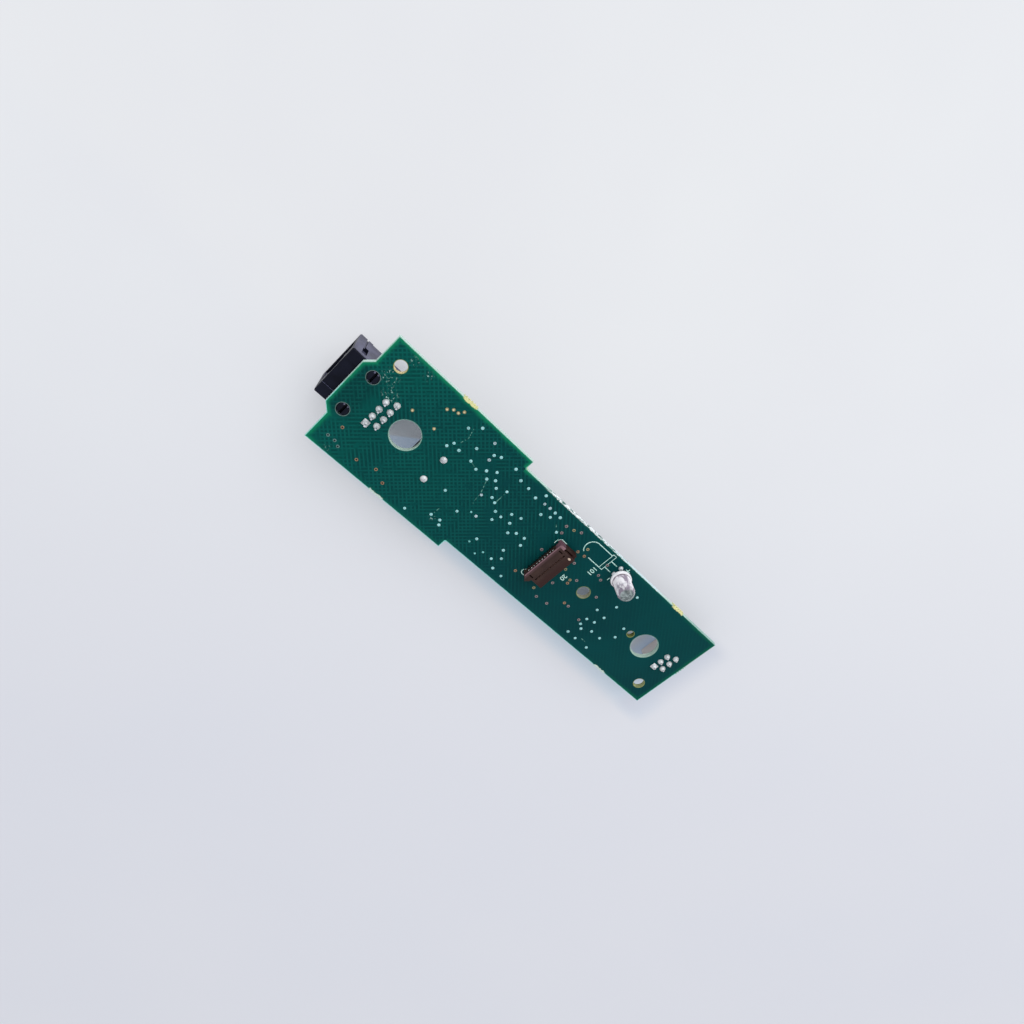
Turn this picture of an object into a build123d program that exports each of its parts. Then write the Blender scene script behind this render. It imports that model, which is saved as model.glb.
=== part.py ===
from build123d import *
from math import atan2, cos, degrees, pi
import os

# Control board of a patient monitor, solder side up.
# Origin: midway between the two large holes, on the upper face of the board. +X runs to the far end.
# Lengths in millimetres, angles in degrees.

# Circuit board
board_length = 128.4
wide_width = 35.9
step_depth = 2.7
board_thickness = 1.6
wide_length = 46.2
step_fillet = 0.8
tab_reach = 2.15
tab_width = 14.0
tab_root_width = 18.4
jack_end_to_near_hole = 17.85
far_end_to_far_hole = 15.05
large_hole_diameter = 8.4
middle_hole_diameter = 3.9
middle_hole_share = 0.713
corner_hole_diameter = 3.4
corner_hole_end_margin = 5.15
near_corner_hole_side_margin = 5.4
far_corner_hole_side_margin = 5.0
locating_hole_diameter = 2.2
locating_hole_to_far_hole = 6.4

# Rough stubs where the board was broken out of its panel
stub_width = 4.6
stub_reach = 0.3
stub_bite_diameter = 0.6
stub_bites = 5
stub_from_jack_end = 23.5
stub_from_far_end = 18.2
end_stub_offset = 1.5

# Pins that come through the board, and their solder
pin_width = 0.46
pin_hole_diameter = 0.95
jack_pin_rise = 2.3
flex_pin_rise = 1.3
pin_row_pitch = 2.54
pin_stagger = 1.27
joint_radius = 0.92
joint_height = 1.0
joint_profile_shares = ((1.0, 0.0), (0.82, 0.42), (0.52, 0.8), (0.3, 1.0))
square_land_width = 1.8
square_land_height = 0.12

# Modular jack under the board
jack_width = 15.24
jack_height = 12.4
jack_front_reach = 5.8
jack_back_margin = 1.4
jack_edge = 0.25
jack_far_wall = 1.1
jack_collar_length = 4.1
jack_collar_step = 0.6
jack_ways = 8
post_from_jack_end = 2.25
post_spacing = 11.43
post_diameter = 3.25
post_clearance = 0.1
post_rise = 0.3
post_tip_chamfer = 0.3
post_slot = 0.7
post_to_front_row = 6.4
plug_width = 11.9
plug_height = 6.8
latch_step_width = 6.3
latch_step_height = 1.4
latch_slot_width = 4.2
latch_slot_height = 1.0
roof_relief_width = 8.8
roof_relief_depth = 0.4
side_recess_from_front = 2.2
side_recess_from_roof = 1.5
side_recess_length = 1.5
side_recess_height = 4.5
side_recess_depth = 1.0
side_groove_width = 0.5
side_groove_depth = 0.35
insert_front_margin = 2.1
insert_clearance = 0.05
contact_pitch = 1.02
contact_gap = 0.25
contact_lift = 3.0
contact_hairpin = 0.5
contact_bend_from_front = 4.2
contact_tip_from_insert = 0.8
contact_jog_shares = (0.45, 0.65)

# Clear lamp that stands on its leads
lamp_share = 0.728
lamp_side_margin = 3.7
lamp_lead_pitch = 2.54
lamp_lead_width = 0.5
lamp_hole_diameter = 1.2
lamp_lead_tail = 1.2
lamp_standoff = 4.0
lamp_flange_diameter = 5.9
lamp_flange_thickness = 1.0
lamp_flange_flat = 0.3
lamp_body_diameter = 5.0
lamp_length = 8.6
lamp_dome_shares = ((1.0, 0.0), (0.92, 0.38), (0.71, 0.71), (0.38, 0.92), (0.1, 1.0))
lamp_lean = 3.8
lamp_side_lean = 2.0
lamp_anvil_low = 1.2
lamp_anvil_high = 2.6
lamp_cup_diameter = 1.5
lamp_cup_height = 0.6
lamp_cup_floor = 0.2
lamp_cup_rim = 0.1
lamp_post_top = 3.2
lamp_post_flag = 0.3
lamp_chip_width = 0.34
lamp_chip_height = 0.2
lamp_joint_radius = 0.95
lamp_joint_height = 0.6

# Two-row socket that links the board to another one
link_share = 0.56
link_offset = -0.3
link_width = 6.3
link_height = 3.3
link_pitch = 1.0
link_ways = 10
link_near_end_wall = 1.5
link_far_end_wall = 2.3
link_slot_width = 0.4
link_slot_depth = 2.4
link_slot_end_wall = 0.9
link_key_width = 0.4
link_key_length = 1.35
link_key_depth = 0.9
link_key_inset = 0.9
link_key_from_end = 0.7
link_edge = 0.2
link_skirt_height = 1.3
link_skirt_depth = 0.5
link_window_width = 0.55
link_window_top = 2.6
link_near_ear_length = 1.6
link_near_ear_width = 2.4
link_near_ear_tip = 1.4
link_far_ear_length = 0.85
link_far_ear_width = 1.9
link_far_ear_round = 0.7
link_far_wall_gap = 0.35
link_far_wall_height = 2.2
link_contact_width = 0.42
link_contact_thickness = 0.2
link_bump_length = 0.3
link_shelf_height = 2.3
link_blade_top = 2.9

# Six-way flex socket under the far end
flex_back_row_from_end = 4.45
flex_offset = 0.4
flex_ways = 6
flex_depth = 5.6
flex_height = 6.6
flex_end_wall = 2.0
flex_slot_width = 1.1
flex_slot_end_wall = 1.0
flex_slot_depth = 5.0
flex_mouth_chamfer = 0.5
flex_edge = 0.25
flex_bend_depth = 0.9
flex_blade_end_margin = 0.9

# Two-pin sounder under the board
sounder_from_near_hole = 11.6
sounder_offset = -1.9
sounder_side = 12.6
sounder_height = 7.0
sounder_wall = 0.8
sounder_edge = 0.5
sounder_base_thickness = 1.2
sounder_base_clearance = 0.05
sounder_port_diameter = 2.4
sounder_pin_spacing = 7.55
sounder_pin_diameter = 0.8
sounder_pin_clearance = 0.12
sounder_pin_rise = 0.75
sounder_joint_radius = 1.0
sounder_joint_height = 0.7
sounder_core_diameter = 2.2
sounder_core_height = 2.7
sounder_coil_diameter = 6.0
sounder_coil_height = 2.2
sounder_coil_clearance = 0.1
sounder_magnet_diameter = 10.4
sounder_magnet_bore = 8.2
sounder_magnet_height = 3.3
sounder_disc_thickness = 0.2

# Controller chip with leads on four sides, under the board
controller_side = 7.0
controller_height = 1.5
controller_standoff = 0.1
controller_edge = 0.3
controller_ways = 8
controller_pitch = 0.8
controller_lead_width = 0.36
controller_lead_thickness = 0.16
controller_lead_reach = 1.2
controller_dimple_diameter = 0.9
controller_dimple_depth = 0.1
controller_dimple_margin = 1.1

# Transceiver chip with leads on two sides, under the board
transceiver_length = 10.3
transceiver_width = 7.5
transceiver_height = 2.4
transceiver_standoff = 0.15
transceiver_edge = 0.35
transceiver_ways = 8
transceiver_pitch = 1.27
transceiver_lead_width = 0.42
transceiver_lead_thickness = 0.25
transceiver_lead_reach = 1.4
transceiver_dimple_diameter = 1.1
transceiver_dimple_depth = 0.1
transceiver_dimple_margin = 1.4
transceiver_side_share = -0.3

# The shape of a chip lead: shoulder and foot as shares of its reach
lead_knee_shares = (0.28, 0.5)

# Chip capacitors round the controller, and chip resistors between the link socket and the middle hole
capacitor_length = 2.0
capacitor_width = 1.25
capacitor_height = 0.9
capacitor_end = 0.4
capacitor_gap = 0.9
capacitor_shares = ((-1.0, -0.3), (-1.0, 0.3), (1.0, -0.3), (1.0, 0.3))
resistor_length = 2.0
resistor_width = 1.25
resistor_height = 0.5
resistor_end = 0.35
resistor_shares = ((0.25, -0.45), (0.45, -0.45), (0.65, -0.45), (0.25, 0.45), (0.45, 0.45), (0.65, 0.45))

# Vias: silver ones are filled with solder, copper ones are open rings
soldered_via_diameter = 0.95
soldered_via_height = 0.08
open_via_diameter = 1.0
open_via_bore = 0.46
open_via_height = 0.05

# Via places, each as (share of the length of its field, share of half the board's width there).
# Fields in order: beside the jack, wide part, narrow part, round the link socket, by the lamp, tail.
jack_field_shares = (
    (0.23, -0.76), (0.30, -0.53), (0.35, -0.76), (0.44, -0.80), (0.76, -0.77), (0.82, 0.35), (1.06, -0.69),
    (1.15, 0.70), (1.22, 0.76), (1.22, 0.36), (1.27, -0.79), (1.30, 0.77), (1.35, 0.84))
wide_field_shares = (
    (0.33, 0.30), (0.35, 0.71), (0.36, 0.40), (0.44, 0.85), (0.44, 0.37), (0.49, -0.87), (0.54, 0.57),
    (0.59, 0.37), (0.62, 0.81), (0.63, -0.23), (0.68, 0.33), (0.70, 0.67), (0.70, 0.57), (0.71, -0.67),
    (0.76, 0.42), (0.76, 0.72), (0.81, -0.65), (0.82, 0.33), (0.84, -0.72), (0.84, 0.51), (0.86, -0.36),
    (0.89, 0.40), (0.90, 0.09), (0.94, 0.74), (0.95, 0.32), (0.96, -0.22), (0.99, 0.17))
narrow_field_shares = (
    (0.030, -0.26), (0.060, 0.46), (0.060, 0.16), (0.071, 0.78), (0.151, 0.05), (0.201, -0.11),
    (0.212, 0.77), (0.222, -0.71), (0.252, 0.04), (0.262, -0.58), (0.322, 0.21), (0.363, 0.73),
    (0.393, 0.06), (0.393, -0.82), (0.433, 0.89), (0.443, 0.27), (0.453, -0.70), (0.473, -0.10),
    (0.504, 0.76), (0.554, 0.00), (0.574, 0.57), (0.594, -0.69), (0.594, 0.77), (0.614, -0.41),
    (0.675, 0.03), (0.685, -0.56), (0.685, 0.65), (0.685, 0.77), (0.715, -0.12), (0.776, 0.77),
    (0.866, -0.83), (0.896, 0.52))
link_field_shares = (
    (-0.777, 0.73), (-0.715, -0.56), (-0.679, 0.58), (-0.679, 0.09), (-0.395, 0.77), (-0.075, 0.83),
    (0.530, 0.52), (0.530, -0.58), (0.752, 0.68), (0.823, 0.11), (0.859, 0.31), (0.903, 0.54),
    (0.939, -0.26), (0.956, -0.68))
lamp_field_shares = (
    (-0.405, 0.01), (-0.385, -0.07), (-0.324, -0.65), (-0.304, 0.09), (-0.142, 0.71), (-0.091, 0.45),
    (-0.081, -0.41), (0.020, 0.41), (0.030, -0.41), (0.263, 0.10), (0.425, -0.48))
tail_field_shares = (
    (0.26, -0.81), (0.27, -0.08), (0.28, -0.36), (0.28, -0.52), (0.33, -0.59), (0.37, -0.31), (0.38, -0.82),
    (0.39, 0.22), (0.40, -0.11), (0.44, -0.49), (0.45, 0.64), (0.56, -0.82), (0.57, -0.49), (0.66, -0.01),
    (0.68, -0.26))

# Flat sides of small round things, which keep the solids light
lens_sides = 24
round_sides = 12
pin_sides = 8
bite_sides = 6
via_sides = 6
via_bore_sides = 4

# How far every cut runs past the faces that it opens
cut_overrun = 0.5

# Places that follow from the sizes above
hole_spacing = board_length - jack_end_to_near_hole - far_end_to_far_hole
near_hole_x = -hole_spacing / 2
far_hole_x = hole_spacing / 2
jack_end_x = near_hole_x - jack_end_to_near_hole
far_end_x = far_hole_x + far_end_to_far_hole
step_x = jack_end_x + wide_length
half_wide = wide_width / 2
half_narrow = half_wide - step_depth
under_z = -board_thickness
middle_hole_x = near_hole_x + middle_hole_share * hole_spacing
post_x = jack_end_x + post_from_jack_end
jack_front_x = jack_end_x - jack_front_reach
jack_row_x = post_x + post_to_front_row
jack_back_x = jack_row_x + pin_row_pitch + jack_back_margin
jack_floor_z = under_z - jack_height
cavity_floor_z = jack_floor_z + jack_collar_step + jack_far_wall
insert_front_x = jack_row_x - insert_front_margin
lamp_x = near_hole_x + lamp_share * hole_spacing
lamp_y = half_narrow - lamp_side_margin
link_x = near_hole_x + link_share * hole_spacing
link_places = [link_pitch * ((link_ways - 1) / 2 - i) for i in range(link_ways)]
link_near_y = link_places[-1] - link_near_end_wall
link_far_y = link_places[0] + link_far_end_wall
flex_row_x = far_end_x - flex_back_row_from_end - pin_row_pitch
flex_x = flex_row_x + pin_row_pitch / 2
sounder_x = near_hole_x + sounder_from_near_hole
controller_x = (sounder_x + sounder_side / 2 + link_x) / 2
transceiver_x = (middle_hole_x + far_hole_x) / 2
transceiver_y = transceiver_side_share * half_narrow


def block(low, high):
    """Box between two corners."""
    sizes = [b - a for a, b in zip(low, high)]
    middle = [(a + b) / 2 for a, b in zip(low, high)]
    return Pos(*middle) * Box(*sizes)


def disc(diameter, sides=round_sides):
    """Flat face of a small round thing."""
    return RegularPolygon(diameter / 2, sides)


def rod(diameter, low, high):
    """Slim upright bar on the Z axis."""
    return Pos(0, 0, low) * extrude(disc(diameter), amount=high - low)


def tube(outer, bore, low, high):
    """Upright ring on the Z axis."""
    return Pos(0, 0, low) * extrude(disc(outer) - disc(bore), amount=high - low)


def stacked(levels, sides=round_sides):
    """Small round solid through (diameter, height) levels, lowest first."""
    stack = Part()
    for (wide, low), (narrow, high) in zip(levels, levels[1:]):
        inset = (wide - narrow) / 2 * cos(pi / sides)
        slope = degrees(atan2(inset, high - low))
        stack += Pos(0, 0, low) * extrude(disc(wide, sides), amount=high - low, taper=slope)
    return stack


def ribbon(points, width):
    """Face of a strip of even width along a bent line, mitred at its corners."""
    line = [Vector(*point) for point in points]
    runs = [(b - a).normalized() for a, b in zip(line, line[1:])]
    left = []
    right = []
    for i, point in enumerate(line):
        before = runs[max(i - 1, 0)]
        after = runs[min(i, len(runs) - 1)]
        across = Vector(-before.Y - after.Y, before.X + after.X).normalized()
        half = width / 2 / across.dot(Vector(-before.Y, before.X))
        left.append(point + across * half)
        right.append(point - across * half)
    return make_face(Polyline(*left, *reversed(right), close=True))


def strip(plane, points, thickness, width):
    """Bent strip of metal: its line lies in the plane, and its width stands across it."""
    return extrude(plane * ribbon(points, thickness), amount=width / 2, both=True)


def under_board(x, y, shape):
    """Turn a shape that was built on its seat at zero height over, onto the lower face of the board."""
    return Pos(x, y, under_z) * Rot(180, 0, 0) * shape


def solder_joint(radius, height):
    """Cone of solder with hollow flanks, standing on the board."""
    return stacked([(2 * r * radius, h * height) for r, h in joint_profile_shares], pin_sides)


def staggered_places(row_x, y, ways):
    """Pin places in two rows: the first pin is in the back row, the last in the front row."""
    first = (ways - 1) / 2
    return [(row_x + pin_row_pitch * ((i + 1) % 2), y + pin_stagger * (first - i)) for i in range(ways)]


def pin_joints(places, pins):
    """Joints of a row of pins. The last one stands on a square land."""
    joints = [Pos(x, y) * solder_joint(joint_radius, joint_height) for x, y in places]
    half = square_land_width / 2
    joints[-1] += Pos(*places[-1]) * block((-half, -half, 0), (half, half, square_land_height))
    return [joint - pin for joint, pin in zip(joints, pins)]


def field(start_x, span, half_width, shares):
    """Via places of one field of the board."""
    return [(start_x + a * span, b * half_width) for a, b in shares]


jack_pins = staggered_places(jack_row_x, 0, jack_ways)
flex_pins = staggered_places(flex_row_x, flex_offset, flex_ways)
lamp_pins = [(lamp_x, lamp_y + side * lamp_lead_pitch / 2) for side in (-1, 1)]
sounder_pin_places = [(sounder_x, sounder_offset + side * sounder_pin_spacing / 2) for side in (-1, 1)]
post_places = [(post_x, side * post_spacing / 2) for side in (-1, 1)]


def stub(x, y, turn):
    """Stub on an edge of the board, and the row of bites that broke it off."""
    pitch = stub_width / stub_bites
    tongue = Rectangle(stub_width, 2 * stub_reach)
    for i in range(stub_bites):
        tongue -= Pos(pitch * (i - (stub_bites - 1) / 2), stub_reach) * disc(stub_bite_diameter, bite_sides)
    return Pos(x, y) * Rot(0, 0, turn) * tongue


def circuit_board():
    outline = Polyline(
        (jack_end_x, -half_wide), (step_x, -half_wide), (step_x, -half_narrow), (far_end_x, -half_narrow),
        (far_end_x, half_narrow), (step_x, half_narrow), (step_x, half_wide), (jack_end_x, half_wide),
        (jack_end_x, tab_root_width / 2), (jack_end_x - tab_reach, tab_width / 2),
        (jack_end_x - tab_reach, -tab_width / 2), (jack_end_x, -tab_root_width / 2), close=True)
    face = make_face(outline)
    at_step = face.vertices().filter_by_position(Axis.X, step_x - cut_overrun, step_x + cut_overrun)
    inner = at_step.filter_by_position(Axis.Y, -half_narrow - cut_overrun, half_narrow + cut_overrun)
    face = fillet(inner, step_fillet)
    near_stub_x = jack_end_x + stub_from_jack_end
    far_stub_x = far_end_x - stub_from_far_end
    face += [stub(near_stub_x, half_wide, 0), stub(near_stub_x, -half_wide, 180)]
    face += [stub(far_stub_x, half_narrow, 0), stub(far_stub_x, -half_narrow, 180)]
    face += stub(far_end_x, end_stub_offset, -90)
    near_corner_y = half_wide - near_corner_hole_side_margin
    far_corner_y = far_corner_hole_side_margin - half_narrow
    holes = [
        (near_hole_x, 0, large_hole_diameter), (far_hole_x, 0, large_hole_diameter),
        (jack_end_x + corner_hole_end_margin, near_corner_y, corner_hole_diameter),
        (far_end_x - corner_hole_end_margin, far_corner_y, corner_hole_diameter)]
    face -= [Pos(x, y) * Circle(diameter / 2) for x, y, diameter in holes]
    wide_holes = [(x, y, post_diameter + 2 * post_clearance) for x, y in post_places]
    wide_holes.append((middle_hole_x, 0, middle_hole_diameter))
    wide_holes.append((far_hole_x - locating_hole_to_far_hole, 0, locating_hole_diameter))
    face -= [Pos(x, y) * disc(diameter, lens_sides) for x, y, diameter in wide_holes]
    pin_holes = [(x, y, pin_hole_diameter) for x, y in jack_pins + flex_pins]
    pin_holes += [(x, y, lamp_hole_diameter) for x, y in lamp_pins]
    pin_holes += [(x, y, sounder_pin_diameter + 2 * sounder_pin_clearance) for x, y in sounder_pin_places]
    face -= [Pos(x, y) * disc(diameter, pin_sides) for x, y, diameter in pin_holes]
    return Pos(0, 0, under_z) * extrude(face, amount=board_thickness)


def jack_contact(i):
    """Spring wire of the jack: tail, jog to the finer pitch, run along the far wall, hairpin, tip."""
    row_x, tail_y = jack_pins[i]
    contact_y = contact_pitch * ((jack_ways - 1) / 2 - i)
    run_z = cavity_floor_z + contact_gap + pin_width / 2
    jog_z = [under_z + share * (run_z - under_z) for share in contact_jog_shares]
    tail = [
        (tail_y, jack_pin_rise), (tail_y, jog_z[0]), (contact_y, jog_z[1]),
        (contact_y, run_z - pin_width / 2)]
    bend_x = jack_front_x + contact_bend_from_front
    spring = [
        (row_x + pin_width / 2, run_z), (bend_x, run_z),
        (bend_x - contact_hairpin, run_z + contact_hairpin), (bend_x, run_z + 2 * contact_hairpin),
        (insert_front_x - contact_tip_from_insert, run_z + contact_lift)]
    upright = Pos(row_x, 0, 0) * strip(Plane.YZ, tail, pin_width, pin_width)
    return upright + Pos(0, contact_y, 0) * strip(Plane.XZ, spring, pin_width, pin_width)


def jack_housing():
    half = jack_width / 2
    collar_end_x = jack_front_x + jack_collar_length
    collar = block((jack_front_x, -half, jack_floor_z), (collar_end_x, half, under_z))
    collar = chamfer(collar.faces().sort_by(Axis.X)[0].edges(), jack_edge)
    shell = collar + block(
        (collar_end_x, -half, jack_floor_z + jack_collar_step), (jack_back_x, half, under_z))
    mouth_x = jack_front_x - cut_overrun
    top_z = cavity_floor_z
    steps = [
        (plug_width, plug_height), (latch_step_width, latch_step_height),
        (latch_slot_width, latch_slot_height)]
    for width, height in steps:
        shell -= block((mouth_x, -width / 2, top_z), (insert_front_x, width / 2, top_z + height))
        top_z += height
    shell -= block(
        (insert_front_x, -plug_width / 2, cavity_floor_z),
        (jack_back_x + cut_overrun, plug_width / 2, under_z + cut_overrun))
    shell -= block(
        (mouth_x, -roof_relief_width / 2, under_z - roof_relief_depth),
        (post_x - post_diameter, roof_relief_width / 2, under_z + cut_overrun))
    recess_x = jack_front_x + side_recess_from_front
    recess_z = under_z - side_recess_from_roof
    for side in (-1, 1):
        inner_y, outer_y = sorted((side * (half - side_recess_depth), side * (half + cut_overrun)))
        shell -= block(
            (recess_x, inner_y, recess_z - side_recess_height),
            (recess_x + side_recess_length, outer_y, recess_z))
        inner_y, outer_y = sorted((side * (half - side_groove_depth), side * (half + cut_overrun)))
        shell -= block(
            (recess_x, inner_y, jack_floor_z - cut_overrun),
            (recess_x + side_groove_width, outer_y, recess_z))
    return shell + [Pos(x, y) * split_post() for x, y in post_places]


def split_post():
    """Post with a slit down its middle, so that it snaps into its hole."""
    post = stacked([
        (post_diameter, under_z), (post_diameter, post_rise - post_tip_chamfer),
        (post_diameter - 2 * post_tip_chamfer, post_rise)], lens_sides)
    slit = block(
        (-post_slot / 2, -post_diameter, under_z), (post_slot / 2, post_diameter, post_rise + cut_overrun))
    return post - slit


def jack_contact_insert(contacts):
    half = plug_width / 2 - insert_clearance
    return block((insert_front_x, -half, cavity_floor_z), (jack_back_x, half, under_z)) - contacts


def lean(shape):
    """Set a piece of the lamp, built upright at the origin, on its place with the lamp's lean."""
    return Pos(lamp_x, lamp_y, 0) * Rot(-lamp_side_lean, lamp_lean, 0) * shape


def lamp_lead(side, top):
    """Square lead from below the board up to a height inside the lens."""
    half = lamp_lead_width / 2
    y = side * lamp_lead_pitch / 2
    return block((-half, y - half, under_z - lamp_lead_tail), (half, y + half, top))


def lamp_cathode():
    """Lead with the anvil that carries the reflector cup on the lamp's axis."""
    half = lamp_lead_width / 2
    low = lamp_standoff + lamp_anvil_low
    high = lamp_standoff + lamp_anvil_high
    anvil = block((-half, -lamp_lead_pitch / 2 - half, low), (half, half, high))
    cup = rod(lamp_cup_diameter, high, high + lamp_cup_height)
    cup -= stacked([
        (2 * lamp_chip_width, high + lamp_cup_floor),
        (lamp_cup_diameter - 2 * lamp_cup_rim, high + lamp_cup_height)])
    return lamp_lead(-1, high) + anvil + cup


def lamp_anode():
    """Lead whose flag reaches towards the cup."""
    half = lamp_lead_width / 2
    outer_y = lamp_lead_pitch / 2 + half
    top = lamp_standoff + lamp_post_top
    flag_y = lamp_lead_pitch / 2 - half - lamp_post_flag / 2
    return lamp_lead(1, top) + block((-half, flag_y, top - lamp_lead_width), (half, outer_y, top))


def lamp_chip():
    half = lamp_chip_width / 2
    floor = lamp_standoff + lamp_anvil_high + lamp_cup_floor
    return block((-half, -half, floor), (half, half, floor + lamp_chip_height))


def lamp_lens():
    """Clear body cast round the leads: flange with a flat at the cathode, round body, domed tip."""
    low = lamp_standoff
    flange_top = low + lamp_flange_thickness
    flange = lamp_flange_diameter
    body = lamp_body_diameter
    tip = low + lamp_length
    dome = [(body * r, tip - body / 2 + body / 2 * h) for r, h in lamp_dome_shares]
    lens = stacked([(flange, low), (flange, flange_top)], lens_sides)
    lens += stacked([(body, flange_top)] + dome, lens_sides)
    flat = block((-flange, -flange, low - cut_overrun), (flange, lamp_flange_flat - flange / 2, flange_top))
    return lens - flat - lamp_cathode() - lamp_anode() - lamp_chip()


def lamp_joints(leads):
    above = [Pos(x, y) * solder_joint(lamp_joint_radius, lamp_joint_height) for x, y in lamp_pins]
    below = [under_board(x, y, solder_joint(lamp_joint_radius, lamp_joint_height)) for x, y in lamp_pins]
    return [joint - leads for joint in above + below]


def link_contacts():
    """Contacts of the link socket: foot, riser, bump in its window, shelf, blade beside the slot."""
    half = link_width / 2
    plate = link_contact_thickness
    riser_x = link_skirt_depth + plate / 2 - half
    bump_z = link_shelf_height - link_bump_length
    blade_x = -(link_slot_width + plate) / 2
    line = [
        (-half, plate / 2), (riser_x, plate / 2), (riser_x, bump_z - link_bump_length),
        (plate - half, bump_z), (plate - half, link_shelf_height), (blade_x, link_shelf_height),
        (blade_x, link_blade_top)]
    contact = strip(Plane.XZ, line, plate, link_contact_width)
    row = [Pos(link_x, link_offset + y, 0) for y in link_places]
    return [place * Rot(0, 0, turn) * contact for turn in (0, 180) for place in row]


def link_ears():
    """Pointed ear at the near end, rounded ear and thin hooked wall at the far end."""
    half = link_width / 2
    left = link_near_ear_length - link_near_ear_tip
    right = link_near_ear_length - link_near_ear_width + link_near_ear_tip
    near_line = Polyline(
        (-half, link_near_y), (-half, link_near_y - left),
        (link_near_ear_tip - half, link_near_y - link_near_ear_length),
        (link_near_ear_width - half, link_near_y - right), (link_near_ear_width - half, link_near_y),
        close=True)
    near_ear = extrude(make_face(near_line), amount=link_height)
    far_end = link_far_y + link_far_ear_length
    far_ear = block((-half, link_far_y, 0), (link_far_ear_width - half, far_end, link_height))
    corner = far_ear.edges().filter_by(Axis.Z).group_by(Axis.Y)[-1].sort_by(Axis.X)[0]
    return near_ear, fillet(corner, link_far_ear_round), far_end


def link_housing(contacts):
    """Body over a set-back foot, with ears, slot, keys, and a window at each contact."""
    half = link_width / 2
    foot = half - link_skirt_depth
    near_ear, far_ear, far_end = link_ears()
    body = block((-half, link_near_y, link_skirt_height), (half, link_far_y, link_height))
    body += [near_ear, far_ear]
    body = chamfer(body.faces().sort_by(Axis.Z)[-1].edges(), link_edge)
    body += block((-foot, link_near_y, 0), (foot, link_far_y, link_skirt_height))
    wall_y = link_far_y + link_far_wall_gap
    body += block((link_far_ear_width - half, wall_y, 0), (half, far_end, link_far_wall_height))
    body += block((foot - link_skirt_depth, link_far_y, 0), (half, far_end, link_far_wall_height))
    slot = link_slot_width / 2
    body -= block(
        (-slot, link_near_y + link_slot_end_wall, link_height - link_slot_depth),
        (slot, link_far_y - link_slot_end_wall, link_height + cut_overrun))
    key_x = link_key_inset - half
    for key_y in (link_near_y + link_key_from_end, link_far_y - link_key_from_end - link_key_width):
        body -= block(
            (key_x, key_y, link_height - link_key_depth),
            (key_x + link_key_length, key_y + link_key_width, link_height + cut_overrun))
    window = block(
        (-half - cut_overrun, -link_window_width / 2, link_skirt_height - cut_overrun),
        (-foot, link_window_width / 2, link_window_top))
    body -= [Pos(0, y, 0) * Rot(0, 0, turn) * window for turn in (0, 180) for y in link_places]
    return Pos(link_x, link_offset, 0) * body - contacts


def flex_contacts():
    """Contacts of the flex socket: tail through the board, bend, blade beside the slot."""
    bend_z = under_z - flex_bend_depth
    end_z = under_z - flex_height + flex_blade_end_margin
    contacts = []
    for x, y in flex_pins:
        side = -1 if x < flex_x else 1
        blade_x = flex_x + side * (flex_slot_width / 2 + pin_width / 2)
        line = [(x, flex_pin_rise), (x, bend_z), (blade_x, bend_z), (blade_x, end_z)]
        contacts.append(Pos(0, y, 0) * strip(Plane.XZ, line, pin_width, pin_width))
    return contacts


def flex_housing(contacts):
    half_length = (flex_ways - 1) / 2 * pin_stagger + flex_end_wall
    half_depth = flex_depth / 2
    body = block((-half_depth, -half_length, -flex_height), (half_depth, half_length, 0))
    body = chamfer(body.edges().filter_by(Axis.Z), flex_edge)
    slot_half = half_length - flex_slot_end_wall
    slot = block(
        (-flex_slot_width / 2, -slot_half, -flex_height - cut_overrun),
        (flex_slot_width / 2, slot_half, flex_slot_depth - flex_height))
    lip = flex_slot_width / 2 + flex_mouth_chamfer
    mouth = extrude(
        Plane.XZ * make_face(Polyline(
            (-lip, -flex_height), (lip, -flex_height), (0, lip - flex_height), close=True)),
        amount=slot_half, both=True)
    return Pos(flex_x, flex_offset, under_z) * (body - slot - mouth) - contacts


def sounder_case():
    half = sounder_side / 2
    inner = half - sounder_wall
    case = block((-half, -half, 0), (half, half, sounder_height))
    case = chamfer(case.edges().filter_by(Axis.Z) + case.faces().sort_by(Axis.Z)[-1].edges(), sounder_edge)
    case -= block((-inner, -inner, -cut_overrun), (inner, inner, sounder_height - sounder_wall))
    case -= rod(sounder_port_diameter, 0, sounder_height + cut_overrun)
    return under_board(sounder_x, sounder_offset, case)


def sounder_base(pins):
    half = sounder_side / 2 - sounder_wall - sounder_base_clearance
    plate = block((-half, -half, 0), (half, half, sounder_base_thickness))
    return under_board(sounder_x, sounder_offset, plate) - pins


def sounder_pins():
    low = under_z - sounder_base_thickness
    return [Pos(x, y) * rod(sounder_pin_diameter, low, sounder_pin_rise) for x, y in sounder_pin_places]


def sounder_inside():
    """Core, coil, ring magnet and disc, stacked on the base."""
    seat = sounder_base_thickness
    rim = seat + sounder_magnet_height
    coil_bore = sounder_core_diameter + 2 * sounder_coil_clearance
    pieces = {
        "sounder_core": rod(sounder_core_diameter, seat, seat + sounder_core_height),
        "sounder_coil": tube(sounder_coil_diameter, coil_bore, seat, seat + sounder_coil_height),
        "sounder_magnet": tube(sounder_magnet_diameter, sounder_magnet_bore, seat, rim),
        "sounder_disc": rod(sounder_magnet_diameter, rim, rim + sounder_disc_thickness)}
    return {name: under_board(sounder_x, sounder_offset, piece) for name, piece in pieces.items()}


def chip_body(length, width, standoff, height, edge, dimple, dimple_depth, dimple_margin):
    """Moulded chip with bevelled edges and a dimple at its first lead."""
    body = block((-length / 2, -width / 2, standoff), (length / 2, width / 2, height))
    faces = body.faces().sort_by(Axis.Z)
    body = chamfer(faces[0].edges() + faces[-1].edges(), edge)
    mark = rod(dimple, height - dimple_depth, height + cut_overrun)
    return body - Pos(dimple_margin - length / 2, dimple_margin - width / 2) * mark


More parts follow.
